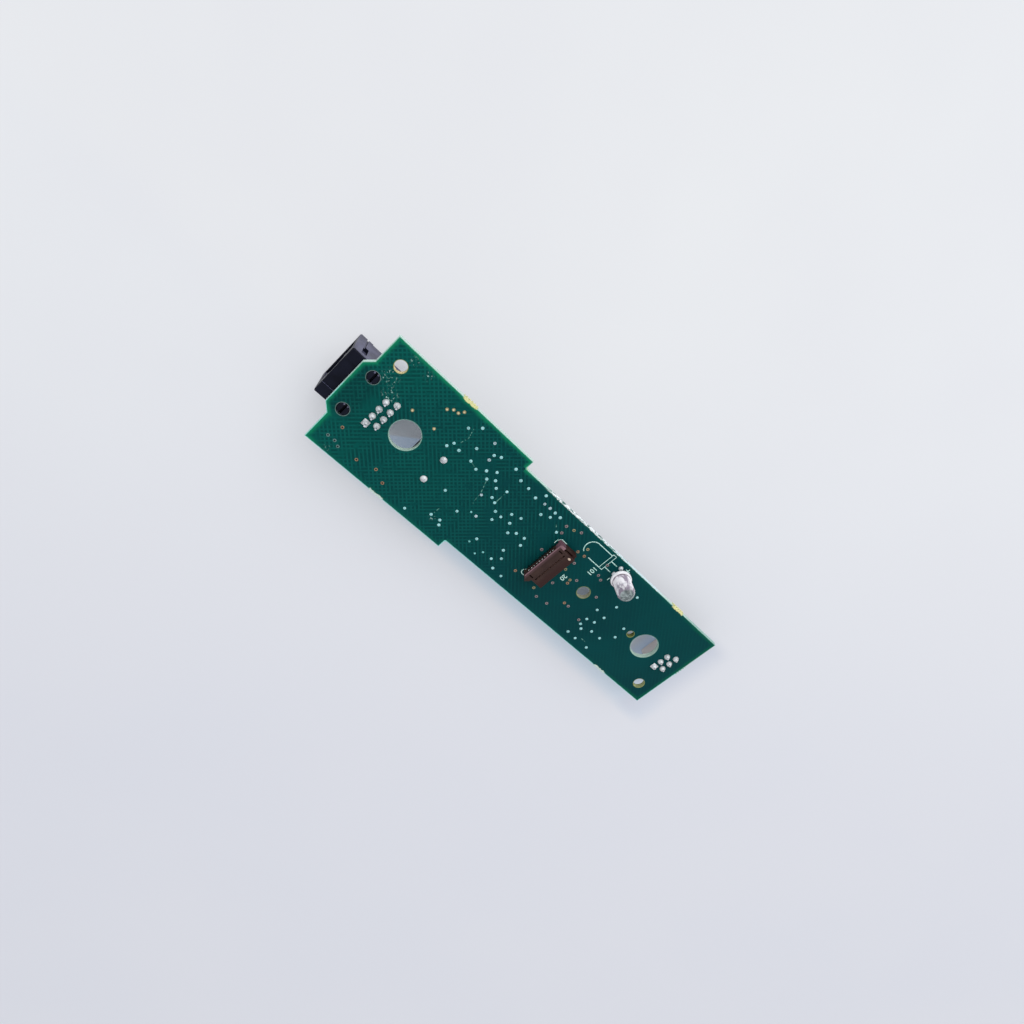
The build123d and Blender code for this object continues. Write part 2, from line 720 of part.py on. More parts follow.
def lead_row(ways, pitch, edge_y, shoulder_z, reach, thickness, width):
    """Gull-wing leads along one side of a chip that faces +Y."""
    knees = [edge_y + share * reach for share in lead_knee_shares]
    line = [
        (edge_y, shoulder_z), (knees[0], shoulder_z), (knees[1], thickness / 2),
        (edge_y + reach, thickness / 2)]
    lead = strip(Plane.YZ, line, thickness, width)
    return [Pos(pitch * (i - (ways - 1) / 2), 0, 0) * lead for i in range(ways)]


def controller():
    body = chip_body(
        controller_side, controller_side, controller_standoff, controller_height, controller_edge,
        controller_dimple_diameter, controller_dimple_depth, controller_dimple_margin)
    shoulder_z = (controller_standoff + controller_height) / 2
    row = lead_row(
        controller_ways, controller_pitch, controller_side / 2, shoulder_z,
        controller_lead_reach, controller_lead_thickness, controller_lead_width)
    leads = [Rot(0, 0, turn) * lead for turn in (0, 90, 180, 270) for lead in row]
    return under_board(controller_x, 0, body), [under_board(controller_x, 0, lead) for lead in leads]


def transceiver():
    body = chip_body(
        transceiver_length, transceiver_width, transceiver_standoff, transceiver_height, transceiver_edge,
        transceiver_dimple_diameter, transceiver_dimple_depth, transceiver_dimple_margin)
    shoulder_z = (transceiver_standoff + transceiver_height) / 2
    row = lead_row(
        transceiver_ways, transceiver_pitch, transceiver_width / 2, shoulder_z,
        transceiver_lead_reach, transceiver_lead_thickness, transceiver_lead_width)
    leads = [Rot(0, 0, turn) * lead for turn in (0, 180) for lead in row]
    x, y = transceiver_x, transceiver_y
    return under_board(x, y, body), [under_board(x, y, lead) for lead in leads]


def chips(places, length, width, height, end):
    """Chip parts along Y: bodies, and the two metal ends of each."""
    inner = length / 2 - end
    middle = block((-width / 2, -inner, 0), (width / 2, inner, height))
    cap = block((-width / 2, inner, 0), (width / 2, length / 2, height))
    bodies = [under_board(x, y, middle) for x, y in places]
    ends = [under_board(x, y, Rot(0, 0, turn) * cap) for x, y in places for turn in (0, 180)]
    return bodies, ends


def soldered_vias():
    wide = field(near_hole_x, step_x - near_hole_x, half_wide, wide_field_shares)
    narrow = field(step_x, link_x - link_width / 2 - step_x, half_narrow, narrow_field_shares)
    tail = field(middle_hole_x, far_hole_x - middle_hole_x, half_narrow, tail_field_shares)
    cap = extrude(disc(soldered_via_diameter, via_sides), amount=soldered_via_height)
    return [Pos(x, y) * cap for x, y in wide + narrow + tail]


def open_vias():
    beside_jack = field(jack_end_x, jack_end_to_near_hole, half_wide, jack_field_shares)
    round_link = field(link_x, link_width, half_narrow, link_field_shares)
    by_lamp = field(middle_hole_x, middle_hole_x - link_x, half_narrow, lamp_field_shares)
    land = disc(open_via_diameter, via_sides) - disc(open_via_bore, via_bore_sides)
    ring = extrude(land, amount=open_via_height)
    return [Pos(x, y) * ring for x, y in beside_jack + round_link + by_lamp]


def save(name, shapes):
    """Write the solids of one node."""
    solids = [solid for shape in shapes for solid in shape.solids()]
    whole = solids[0] if len(solids) == 1 else Compound(solids)
    export_step(whole, f"parts/{name}.step")


def main():
    os.makedirs("parts", exist_ok=True)
    save("circuit_board", [circuit_board()])

    contacts = [jack_contact(i) for i in range(jack_ways)]
    save("jack_housing", [jack_housing()])
    save("jack_contacts", contacts)
    save("jack_contact_insert", [jack_contact_insert(contacts)])
    save("jack_solder_joints", pin_joints(jack_pins, contacts))

    cathode = lean(lamp_cathode())
    anode = lean(lamp_anode())
    save("lamp_cathode_lead", [cathode])
    save("lamp_anode_lead", [anode])
    save("lamp_chip", [lean(lamp_chip())])
    save("lamp_lens", [lean(lamp_lens())])
    save("lamp_solder_joints", lamp_joints([cathode, anode]))

    link = link_contacts()
    save("link_socket_contacts", link)
    save("link_socket_housing", [link_housing(link)])

    flex = flex_contacts()
    save("flex_socket_contacts", flex)
    save("flex_socket_housing", [flex_housing(flex)])
    save("flex_socket_solder_joints", pin_joints(flex_pins, flex))

    pins = sounder_pins()
    save("sounder_case", [sounder_case()])
    save("sounder_base", [sounder_base(pins)])
    save("sounder_pins", pins)
    for name, piece in sounder_inside().items():
        save(name, [piece])
    joint = solder_joint(sounder_joint_radius, sounder_joint_height)
    save("sounder_solder_joints", [Pos(x, y) * joint - pins for x, y in sounder_pin_places])

    body, leads = controller()
    save("controller_body", [body])
    save("controller_leads", leads)
    body, leads = transceiver()
    save("transceiver_body", [body])
    save("transceiver_leads", leads)

    reach = controller_side / 2 + controller_lead_reach + capacitor_gap + capacitor_width / 2
    places = [(controller_x + a * reach, b * controller_side) for a, b in capacitor_shares]
    bodies, ends = chips(places, capacitor_length, capacitor_width, capacitor_height, capacitor_end)
    save("capacitor_bodies", bodies)
    save("capacitor_ends", ends)
    places = field(link_x, middle_hole_x - link_x, half_narrow, resistor_shares)
    bodies, ends = chips(places, resistor_length, resistor_width, resistor_height, resistor_end)
    save("resistor_bodies", bodies)
    save("resistor_ends", ends)

    save("soldered_vias", soldered_vias())
    save("open_vias", open_vias())


main()
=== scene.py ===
import math
import random

import bmesh
import bpy
from mathutils import Matrix, Vector


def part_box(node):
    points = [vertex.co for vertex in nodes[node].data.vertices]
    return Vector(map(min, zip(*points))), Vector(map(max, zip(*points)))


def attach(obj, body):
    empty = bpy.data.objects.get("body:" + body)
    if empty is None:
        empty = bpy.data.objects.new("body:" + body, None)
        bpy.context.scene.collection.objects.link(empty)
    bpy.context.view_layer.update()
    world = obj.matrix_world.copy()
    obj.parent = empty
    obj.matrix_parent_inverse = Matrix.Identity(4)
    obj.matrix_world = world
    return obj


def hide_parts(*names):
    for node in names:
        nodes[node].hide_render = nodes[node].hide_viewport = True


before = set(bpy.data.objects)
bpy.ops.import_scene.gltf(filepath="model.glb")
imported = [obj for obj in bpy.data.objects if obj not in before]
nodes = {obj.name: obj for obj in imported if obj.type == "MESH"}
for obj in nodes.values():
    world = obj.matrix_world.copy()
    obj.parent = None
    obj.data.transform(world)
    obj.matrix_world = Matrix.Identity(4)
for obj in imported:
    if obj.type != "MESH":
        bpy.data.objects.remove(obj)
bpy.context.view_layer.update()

mm = 0.001

# Where the photograph was taken from: the eye, the point in its middle, and the turn of the picture
eye = Vector((-85.25, 66.87, 177.91)) * mm
aim = Vector((-12.81, 3.77, 0.0)) * mm
roll = math.radians(176.5)
photo_lens = 26.53
photo_sensor = 36.0

# Room, in metres: brightness at the horizon and overhead, its tint, the soft window and the floor
horizon = 1.5
overhead = 0.58
sky_tint = (0.95, 0.965, 1.0)
window_place = (-0.1, 0.72, 0.6)
window_size = 0.9
window_watts = 3.8
floor_half = 1.5

# Meshes: what tells their faces and edges apart, and how far edges are rounded
merge_gap = 0.001 * mm
flat_angle = math.radians(1)
level_gap = 0.02 * mm
flat_normal = 0.9
side_normal = 0.6
rim_turn = 0.5
rim_bevel = 0.08 * mm
jack_roof_bevel = 0.7 * mm
jack_front_bevel = 0.16 * mm
jack_bevel_edge = 6 * mm
board_thickness = 1.6 * mm

# Board, in millimetres
wide_half = 17.95
narrow_half = 15.25
step_x = -19.4
tab_reach = 2.15
tab_half = 7.0
tab_root_half = 9.2
stub_gap = 0.02
stub_half = 2.5
stub_places = [-42.1, 44.6]
end_stub_reach = 0.3
outline_gap = 0.3
step_gap = 1.0
bore_gap = 0.2
far_off = 100.0
hatch_pitch = 1.04
chips_start = -12.0
chips_end = 34.0

# Holes of the board: place and radius in millimetres
large_holes = [(-47.75, 0.0, 4.2), (47.75, 0.0, 4.2)]
middle_hole = (20.34, 0.0, 1.95)
near_corner_hole = (-60.45, 12.55, 1.7)
far_corner_hole = (57.65, -10.25, 1.7)
locating_hole = (41.35, 0.0, 1.1)
small_holes = [middle_hole, near_corner_hole, far_corner_hole, locating_hole]
post_holes = [(-63.35, -5.715, 1.725), (-63.35, 5.715, 1.725)]

# Fine traces that show through the mask, as runs of points in millimetres
traces = [
    [(-24.4, 6.0), (-22.9, 2.3), (-22.1, -1.6)], [(-30.9, 6.6), (-28.4, 6.0)], [(-18.0, 7.1), (-18.0, 2.6)],
    [(-36.7, 13.4), (-35.9, 10.9), (-36.4, 8.6)],
    [(-27.3, -9.3), (-27.5, -11.8)], [(-1.6, 9.6), (0.2, 8.0)], [(32.2, -11.3), (34.5, -11.4)]]

# Spots where pale flux has dried: place and reach in millimetres
flux_spots = [
    (-57.6, 5.4, 2.6), (-60.6, 8.9, 2.8), (-56.4, -0.6, 1.6), (-59.6, -16.6, 1.4), (-26.6, -12.6, 1.6),
    (-58.9, 16.0, 1.7), (-54.1, 15.6, 1.7)]

# Link socket: place of its slot in millimetres, and the cream dab on it
slot_x = 5.73
dab_place = (7.45 * mm, 5.75 * mm)
dab_size = (0.5 * mm, 0.32 * mm, 0.12 * mm)
dab_profile_shares = ((1.0, 0.0), (0.8, 0.7), (0.0, 1.0))

# Lamp, as it leans in the solids; its foot is in millimetres
lamp_lean = math.radians(3.8)
lamp_side_lean = math.radians(2.0)
lens_low = 4.0 * mm
lens_flange_radius = 2.95 * mm
lens_flange_height = 1.0 * mm
lens_radius = 2.5 * mm
lens_length = 8.6 * mm
lens_flat = 2.65 * mm
lens_edge = 0.12 * mm
lens_steps = 48
lens_dome_steps = 10
foot_x = 21.77
foot_y = 11.55
lens_tilt_at_foot = foot_x * math.tan(lamp_lean) + foot_y * math.tan(lamp_side_lean)

# Ink
ink_width = 0.25 * mm
ink_height = 0.025 * mm
ink_swell = 0.025 * mm

# Solder
joint_steps = 20
joint_profile_shares = (
    (1.0, 0.0), (0.95, 0.2), (0.84, 0.45), (0.64, 0.7), (0.45, 0.87), (0.24, 0.97), (0.0, 1.0))
joint_squash_share = 0.95
lamp_joint_share = 0.74
upper_side_z = -0.5 * mm
land_width = 1.84 * mm
land_height = 0.34 * mm
land_edge = 0.25 * mm

# Filled vias
via_steps = 12
via_profile_shares = ((1.0, 0.0), (0.92, 0.6), (0.62, 1.0), (0.3, 0.9), (0.0, 0.8))
via_spread_share = 0.06
small_via_share = 0.72
via_pit_share = 0.24
pit_chance = 0.4
pit_shift = 0.1 * mm
via_room = 0.6 * mm

# Rings of open vias, as shares of their radius and height, and where their tones change
bore_share = 0.42
jack_bore_share = 0.54
bore_slope_share = 0.12
bore_overlap_share = 0.04
bore_depth_share = 0.3
bore_rim_share = 0.35
ring_crown_share = 0.86
jack_rings_x = -40 * mm
grey_rings_x = -57 * mm
grey_rings_y = -12 * mm

# Places of some filled vias in millimetres, and how near to a place counts
added_vias = [(-3.86, -12.4)]
small_vias = [(-20.58, -3.86), (-14.56, -10.72), (-10.67, -12.39), (-9.42, -10.58)]
tinted_vias = [(-30.1, 14.5), (-28.0, 10.2), (-22.25, 1.64), (-18.8, -3.9), (-8.08, 11.7), (-6.2, 11.8)]
spot_reach = 0.6

dice = random.Random(7)


# Short ways to build a finish

class Graph:
    """A node tree under construction."""

    def __init__(self, tree):
        self.tree = tree

    def fill(self, node, socket, value):
        """Give an input of a node a constant, or link a node's output to it."""
        if isinstance(value, bpy.types.NodeSocket):
            self.tree.links.new(value, node.inputs[socket])
        else:
            node.inputs[socket].default_value = value

    def node(self, kind, inputs, output=0, **settings):
        """Add a node, fill its inputs with numbers or links, and return one of its outputs."""
        added = self.tree.nodes.new(kind)
        for name, value in settings.items():
            setattr(added, name, value)
        for socket, value in inputs.items():
            self.fill(added, socket, value)
        return added.outputs[output]

    def maths(self, operation, a, b=0.0, c=0.0):
        """One sum of up to three numbers or links."""
        return self.node("ShaderNodeMath", {0: a, 1: b, 2: c}, operation=operation)

    def span(self, value, low, high, to_low, to_high):
        """A value carried from one range to another, and held at its ends."""
        inputs = {"Value": value, "From Min": low, "From Max": high, "To Min": to_low, "To Max": to_high}
        return self.node("ShaderNodeMapRange", inputs)

    def seen(self):
        """1 for rays that the camera sends, also by way of a mirror or through a clear body."""
        rays = self.tree.nodes.new("ShaderNodeLightPath").outputs
        share = self.maths("MAXIMUM", rays["Is Camera Ray"], rays["Is Glossy Ray"])
        return self.maths("MAXIMUM", share, rays["Is Transmission Ray"])


class Finish(Graph):
    """A material under construction."""

    def __init__(self, name, colour, roughness, metallic=0.0, **sockets):
        self.made = bpy.data.materials.new(name)
        self.made.use_nodes = True
        super().__init__(self.made.node_tree)
        self.shader = self.tree.nodes["Principled BSDF"]
        self.set("Base Color", (*colour, 1.0))
        self.set("Roughness", roughness)
        self.set("Metallic", metallic)
        for socket, value in sockets.items():
            self.set(socket.replace("_", " "), value)
        self.place = self.tree.nodes.new("ShaderNodeTexCoord").outputs["Object"]

    def set(self, socket, value):
        """Give one of the shader's inputs a constant or a link."""
        self.fill(self.shader, socket, value)

    def least(self, values):
        """Smallest of several values."""
        found = values[0]
        for value in values[1:]:
            found = self.maths("MINIMUM", found, value)
        return found

    def noise(self, scale, detail=3.0, roughness=0.55, distortion=0.0, place=None):
        inputs = {
            "Vector": place or self.place, "Scale": scale, "Detail": detail,
            "Roughness": roughness, "Distortion": distortion}
        return self.node("ShaderNodeTexNoise", inputs)

    def squeeze(self, x, y, z, shift=0.0):
        """Object coordinates stretched along the axes, and moved."""
        inputs = {"Vector": self.place, "Scale": (x, y, z), "Location": (shift, shift, 0.0)}
        return self.node("ShaderNodeMapping", inputs)

    def step(self, value, low, high):
        """0 below low, 1 above high, smooth between."""
        inputs = {"Value": value, "From Min": low, "From Max": high}
        return self.node("ShaderNodeMapRange", inputs, interpolation_type="SMOOTHSTEP")

    def fall(self, value, low, high):
        """1 below low, 0 above high, smooth between."""
        return self.maths("SUBTRACT", 1.0, self.step(value, low, high))

    def mix(self, share, a, b):
        """Blend of two colours, each a tuple or a link."""
        full = [c if isinstance(c, bpy.types.NodeSocket) else (*c, 1.0) for c in (a, b)]
        return self.node("ShaderNodeMix", {0: share, 6: full[0], 7: full[1]}, output=2, data_type="RGBA")

    def bump(self, height, strength, distance):
        inputs = {"Height": height, "Strength": strength, "Distance": distance}
        self.set("Normal", self.node("ShaderNodeBump", inputs))

    def axes(self):
        """X, Y and Z of the place, in millimetres."""
        split = self.tree.nodes.new("ShaderNodeSeparateXYZ")
        self.tree.links.new(self.place, split.inputs[0])
        return [self.maths("DIVIDE", split.outputs[i], mm) for i in range(3)]

    def hypot(self, a, b):
        """Length of the slant over two sides at right angles."""
        square = self.maths("MULTIPLY_ADD", a, a, self.maths("MULTIPLY", b, b))
        return self.maths("SQRT", square)

    def from_point(self, x, y, point):
        """Distance on the board from a point."""
        across = self.maths("SUBTRACT", x, point[0])
        along = self.maths("SUBTRACT", y, point[1])
        return self.hypot(across, along)

    def from_line(self, x, y, start, end):
        """Distance on the board from a straight run."""
        run = (end[0] - start[0], end[1] - start[1])
        square = run[0] ** 2 + run[1] ** 2
        across = self.maths("SUBTRACT", x, start[0])
        along = self.maths("SUBTRACT", y, start[1])
        part = self.maths("MULTIPLY", along, run[1] / square)
        part = self.maths("MULTIPLY_ADD", across, run[0] / square, part)
        part = self.maths("MAXIMUM", self.maths("MINIMUM", part, 1.0), 0.0)
        left_x = self.maths("MULTIPLY_ADD", part, -run[0], across)
        left_y = self.maths("MULTIPLY_ADD", part, -run[1], along)
        return self.hypot(left_x, left_y)


def shade(red, green, blue):
    """Linear colour of a screen colour from 0 to 255."""
    parts = [c / 255 for c in (red, green, blue)]
    return tuple(((c + 0.055) / 1.055) ** 2.4 if c > 0.04045 else c / 12.92 for c in parts)


# Finishes

jack_end, far_end = [v.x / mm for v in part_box("circuit_board")]
board_end = far_end - end_stub_reach
wide_start = jack_end + tab_reach
link_low, link_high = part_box("link_socket_housing")


def outline_room(f, x, y):
    """Distance inwards from the outline of the board."""
    side = f.maths("ABSOLUTE", y)
    in_wide = f.maths("LESS_THAN", x, step_x)
    half = f.maths("MULTIPLY_ADD", in_wide, wide_half - narrow_half, narrow_half)
    side_room = f.maths("SUBTRACT", half, side)
    in_narrow = f.maths("LESS_THAN", side, narrow_half)
    step_room = f.maths("MULTIPLY_ADD", in_narrow, far_off, f.maths("SUBTRACT", step_x, x))
    past_step = f.maths("MULTIPLY_ADD", f.maths("GREATER_THAN", x, step_x), far_off, step_room)
    slant = math.hypot(tab_reach, tab_root_half - tab_half)
    along = f.maths("MULTIPLY", f.maths("SUBTRACT", x, wide_start), (tab_root_half - tab_half) / slant)
    across = f.maths("MULTIPLY", f.maths("SUBTRACT", side, tab_root_half), tab_reach / slant)
    tab_room = f.maths("MINIMUM", f.maths("SUBTRACT", along, across), f.maths("SUBTRACT", x, jack_end))
    beside_tab = f.maths("GREATER_THAN", side, tab_root_half)
    end_room = f.maths("SUBTRACT", x, wide_start)
    jack_room = f.node("ShaderNodeMix", {0: beside_tab, 2: tab_room, 3: end_room})
    far_room = f.maths("SUBTRACT", board_end, x)
    return f.least([side_room, past_step, jack_room, far_room])


def hole_room(f, x, y, holes):
    """Distance outwards from the rims of holes or round spots."""
    return f.least([f.maths("SUBTRACT", f.from_point(x, y, hole), hole[2]) for hole in holes])


def hatch(f, x, y):
    """Dark squares between two sets of slanting lines, either of which fades in places."""
    sets = []
    for sign, shift, far_low, far_high, rest in ((1, 0.0, -4, 12, 0.3), (-1, 0.31, -14, 2, 0.1)):
        line = f.maths("MULTIPLY_ADD", y, sign, x)
        wave = f.maths("PINGPONG", f.maths("DIVIDE", line, hatch_pitch * math.sqrt(2)), 0.5)
        gap = f.step(wave, 0.1, 0.3)
        patch = f.step(f.noise(95, 2, place=f.squeeze(1, 1, 0, shift)), 0.34, 0.52)
        broken = f.step(f.noise(420, 2, place=f.squeeze(1, 1, 0, shift + 0.7)), 0.32, 0.5)
        whole = f.maths("MULTIPLY", patch, broken)
        seen = f.maths("MULTIPLY", whole, f.span(x, far_low, far_high, 1, rest))
        lit = f.maths("MULTIPLY", seen, f.maths("SUBTRACT", 1.0, gap))
        sets.append((seen, lit, f.maths("SUBTRACT", 1.0, lit)))
    (seen_a, lit_a, dark_a), (seen_b, lit_b, dark_b) = sets
    lines = f.maths("MAXIMUM", lit_a, lit_b)
    squares = f.maths("MULTIPLY", f.maths("MULTIPLY", dark_a, dark_b), f.maths("MAXIMUM", seen_a, seen_b))
    return lines, squares


def solder_mask():
    """Green mask over hatched copper, with bare laminate along the outline and round the holes."""
    f = Finish("solder_mask", shade(8, 80, 70), 0.45, Specular_IOR_Level=0.05)
    x, y, _ = f.axes()
    room = outline_room(f, x, y)
    wobble = f.noise(260, 3)
    lines, squares = hatch(f, x, y)
    away = f.span(x, jack_end, -10, 0, 1)
    light = f.mix(away, shade(2, 88, 79), shade(2, 66, 68))
    dim = f.mix(away, shade(3, 78, 75), shade(3, 59, 63))
    base = f.mix(f.step(f.noise(48, 3), 0.35, 0.72), light, dim)
    on_tab = f.maths("MULTIPLY", f.fall(x, -62.5, -59.0), f.fall(f.maths("ABSOLUTE", y), 6.0, 9.0))
    base = f.mix(f.maths("MULTIPLY", on_tab, 0.85), base, shade(2, 59, 58))
    copper = f.step(f.maths("ADD", room, wobble), 0.7, 2.1)
    lit_side = f.maths("MAXIMUM", f.step(y, -2.0, 12.0), f.fall(x, -65.0, -60.0))
    bare_green = f.mix(lit_side, shade(5, 88, 74), shade(14, 124, 88))
    far_green = f.mix(f.step(x, 45, 56), shade(3, 74, 69), shade(6, 88, 68))
    bare_green = f.mix(f.step(x, step_x + 1, step_x + 6), bare_green, far_green)
    base = f.mix(copper, bare_green, base)
    inner = f.maths("MULTIPLY", copper, 0.65)
    base = f.mix(f.maths("MULTIPLY", lines, f.maths("MULTIPLY", inner, 0.5)), base, shade(16, 98, 90))
    base = f.mix(f.maths("MULTIPLY", squares, inner), base, shade(3, 55, 54))
    runs = [f.from_line(x, y, a, b) for run in traces for a, b in zip(run, run[1:])]
    broken = f.step(f.noise(1300, 2), 0.48, 0.6)
    trace = f.maths("MULTIPLY", f.fall(f.least(runs), 0.06, 0.17), broken)
    base = f.mix(f.maths("MULTIPLY", trace, 0.55), base, shade(130, 190, 172))
    near_flux = hole_room(f, x, y, flux_spots)
    crumbs = f.step(f.noise(1500, 3, 0.7), 0.57, 0.65)
    flux = f.maths("MULTIPLY", f.fall(near_flux, -1.6, 0.0), crumbs)
    base = f.mix(f.maths("MULTIPLY", flux, 0.85), base, shade(170, 205, 195))
    bright_side = f.maths("GREATER_THAN", y, 0.0)
    base = bare_rims(f, base, room, x, y, wobble, bright_side)
    f.set("Base Color", base)
    f.set("Roughness", f.span(f.noise(900, 3), 0.3, 0.7, 0.36, 0.5))
    f.bump(f.maths("MULTIPLY_ADD", squares, -0.8, f.noise(2600, 2)), 0.25, 0.02 * mm)
    return f.made


def chipped_run(f, x):
    """1 along the stretch of the long edge where the laminate is chipped."""
    return f.maths("MULTIPLY", f.step(x, chips_start, chips_start + 4), f.fall(x, chips_end, chips_end + 6))


def bare_rims(f, base, room, x, y, wobble, bright_side):
    """Lay the bare laminate of rims and broken stubs over the mask's colour."""
    ragged = f.noise(1100, 4, 0.7)
    rim = f.fall(f.maths("MULTIPLY_ADD", ragged, -0.25, room), 0.0, 0.12)
    rim_colour = f.mix(bright_side, shade(142, 226, 218), shade(150, 210, 192))
    base = f.mix(f.maths("MULTIPLY", rim, f.span(bright_side, 0, 1, 0.8, 0.6)), base, rim_colour)
    along = chipped_run(f, x)
    thick = f.maths("ADD", f.noise(900, 3, 0.7), f.span(x, 6, 28, 0.07, -0.02))
    chips = f.maths("MULTIPLY", f.maths("MULTIPLY", along, bright_side), f.step(thick, 0.48, 0.58))
    inward = f.maths("ADD", f.maths("MULTIPLY_ADD", ragged, -0.5, room), f.span(x, -8, 28, -0.09, 0.12))
    chipped = f.maths("MULTIPLY", chips, f.fall(inward, -0.1, 0.1))
    base = f.mix(chipped, base, shade(236, 244, 242))
    nearest = f.least([f.maths("ABSOLUTE", f.maths("SUBTRACT", x, place)) for place in stub_places])
    beside = f.fall(nearest, stub_half - 0.5, stub_half)
    outer = f.fall(f.maths("MULTIPLY_ADD", ragged, -1.1, room), -0.25, 0.0)
    torn_share = f.maths("MULTIPLY", beside, outer)
    torn_colour = f.mix(bright_side, shade(198, 216, 206), shade(230, 228, 164))
    base = f.mix(torn_share, base, torn_colour)
    rings = (
        (large_holes, -0.12, 0.0, 0.12, 0.8, shade(140, 190, 172)),
        (small_holes, -0.12, 0.0, 0.14, 0.8, shade(150, 160, 92)),
        (post_holes, -0.2, -0.02, 0.12, ragged, shade(150, 170, 165)))
    for holes, wander, low, high, share, colour in rings:
        ring = f.fall(f.maths("MULTIPLY_ADD", wobble, wander, hole_room(f, x, y, holes)), low, high)
        base = f.mix(f.maths("MULTIPLY", ring, share), base, colour)
    return base


def laminate(name, light, dark, fleck_scale):
    """Cut glass-fibre board: layers along the thickness and pale torn fibres."""
    f = Finish(name, light, 0.7)
    fibres = f.noise(fleck_scale, 4, 0.7, place=f.squeeze(1, 1, 3))
    layers = f.noise(900, 2, place=f.squeeze(0.05, 0.05, 3))
    tone = f.maths("MULTIPLY_ADD", layers, 0.35, fibres)
    f.set("Base Color", f.mix(f.step(tone, 0.45, 0.85), dark, light))
    f.bump(fibres, 0.6, 0.05 * mm)
    return f.made


def cut_edge():
    """Sawn edge: pale mint, with white fibres along the side of the narrow part and painted shade in dark
    green between them.
    """
    f = Finish("cut_edge", shade(190, 228, 212), 0.7)
    x, y, _ = f.axes()
    fibres = f.noise(1500, 4, 0.7, place=f.squeeze(1, 1, 3))
    pale = f.step(fibres, 0.4, 0.75)
    mint = f.mix(pale, shade(176, 206, 194), shade(226, 238, 232))
    deep = f.mix(pale, shade(134, 174, 164), shade(186, 210, 204))
    mint = f.mix(f.step(x, 46, 52), mint, deep)
    chips = chipped_run(f, x)
    fleck = f.maths("ADD", f.noise(520, 4, 0.7), f.span(x, 18, 26, 0, 0.2))
    bright = f.mix(f.step(x, 4, 26), shade(248, 252, 253), shade(203, 224, 229))
    # Dark green between the white fibres is painted shade.
    white_fibres_and_shade = f.mix(f.step(fleck, 0.44, 0.54), shade(58, 104, 96), bright)
    f.set("Base Color", f.mix(f.maths("MULTIPLY", chips, f.maths("GREATER_THAN", y, 0.0)), mint, white_fibres_and_shade))
    f.bump(fibres, 0.6, 0.05 * mm)
    return f.made


def moulded(name, colour, roughness, grain=1400, lift=0.3, **sockets):
    """Moulded plastic: fine grain, faint clouds and a little dust."""
    f = Finish(name, colour, roughness, **sockets)
    cloud = f.noise(230, 4)
    pale = tuple(min(1.0, c * (1 + lift) + 0.002) for c in colour)
    dim = tuple(c * (1 - lift) for c in colour)
    f.set("Base Color", f.mix(f.step(cloud, 0.3, 0.7), dim, pale))
    f.set("Roughness", f.span(f.noise(600, 3), 0.3, 0.7, roughness - 0.06, roughness + 0.08))
    f.bump(f.noise(grain, 2), 0.12, 0.02 * mm)
    return f.made


def metal(name, colour, roughness, dull_and_shade, metallic=1.0, grain=1500):
    """Metal with duller patches; less than wholly metallic where it scatters light."""
    f = Finish(name, colour, roughness, metallic)
    patch = f.step(f.noise(900, 3), 0.4, 0.72)
    f.set("Base Color", f.mix(patch, colour, dull_and_shade))
    f.set("Roughness", f.span(patch, 0, 1, roughness, min(1.0, roughness + 0.25)))
    f.bump(f.noise(grain, 3), 0.2, 0.03 * mm)
    return f.made


def jack_wire():
    """Spring wire, tinned where it comes through the board."""
    f = Finish("jack_wire", shade(212, 178, 108), 0.28, 0.8)
    z = f.axes()[2]
    tone = f.step(f.noise(900, 3), 0.4, 0.72)
    gold = f.mix(tone, shade(212, 178, 108), shade(176, 140, 80))
    tin = f.mix(tone, shade(232, 234, 238), shade(190, 194, 198))
    f.set("Base Color", f.mix(f.step(z, -1.6, -0.6), gold, tin))
    f.bump(f.noise(1500, 3), 0.2, 0.03 * mm)
    return f.made


def link_wire():
    """Link contacts: bright tin where they rise beside the cover, brightened there as a painted highlight;
    painted shade, dark green and brown, at their feet and in the slot.
    """
    f = Finish("link_contact", shade(236, 234, 226), 0.3, 0.3)
    x, _, z = f.axes()
    middle = (link_low.x + link_high.x) / 2 / mm
    away = f.maths("ABSOLUTE", f.maths("SUBTRACT", x, middle))
    # Bright tin high up beside the cover, partly a painted highlight.
    bright = f.maths("MULTIPLY", f.step(z, 1.0, 1.5), f.step(away, 1.4, 1.8))
    tone = f.mix(f.step(f.noise(900, 3), 0.4, 0.72), shade(248, 246, 242), shade(214, 208, 196))
    # Dark green low down and dark brown in the slot are painted shade.
    dull_and_shade = f.mix(f.step(z, 1.0, 1.5), shade(16, 44, 42), shade(72, 58, 52))
    f.set("Base Color", f.mix(bright, dull_and_shade, tone))
    f.bump(f.noise(1500, 3), 0.2, 0.03 * mm)
    return f.made


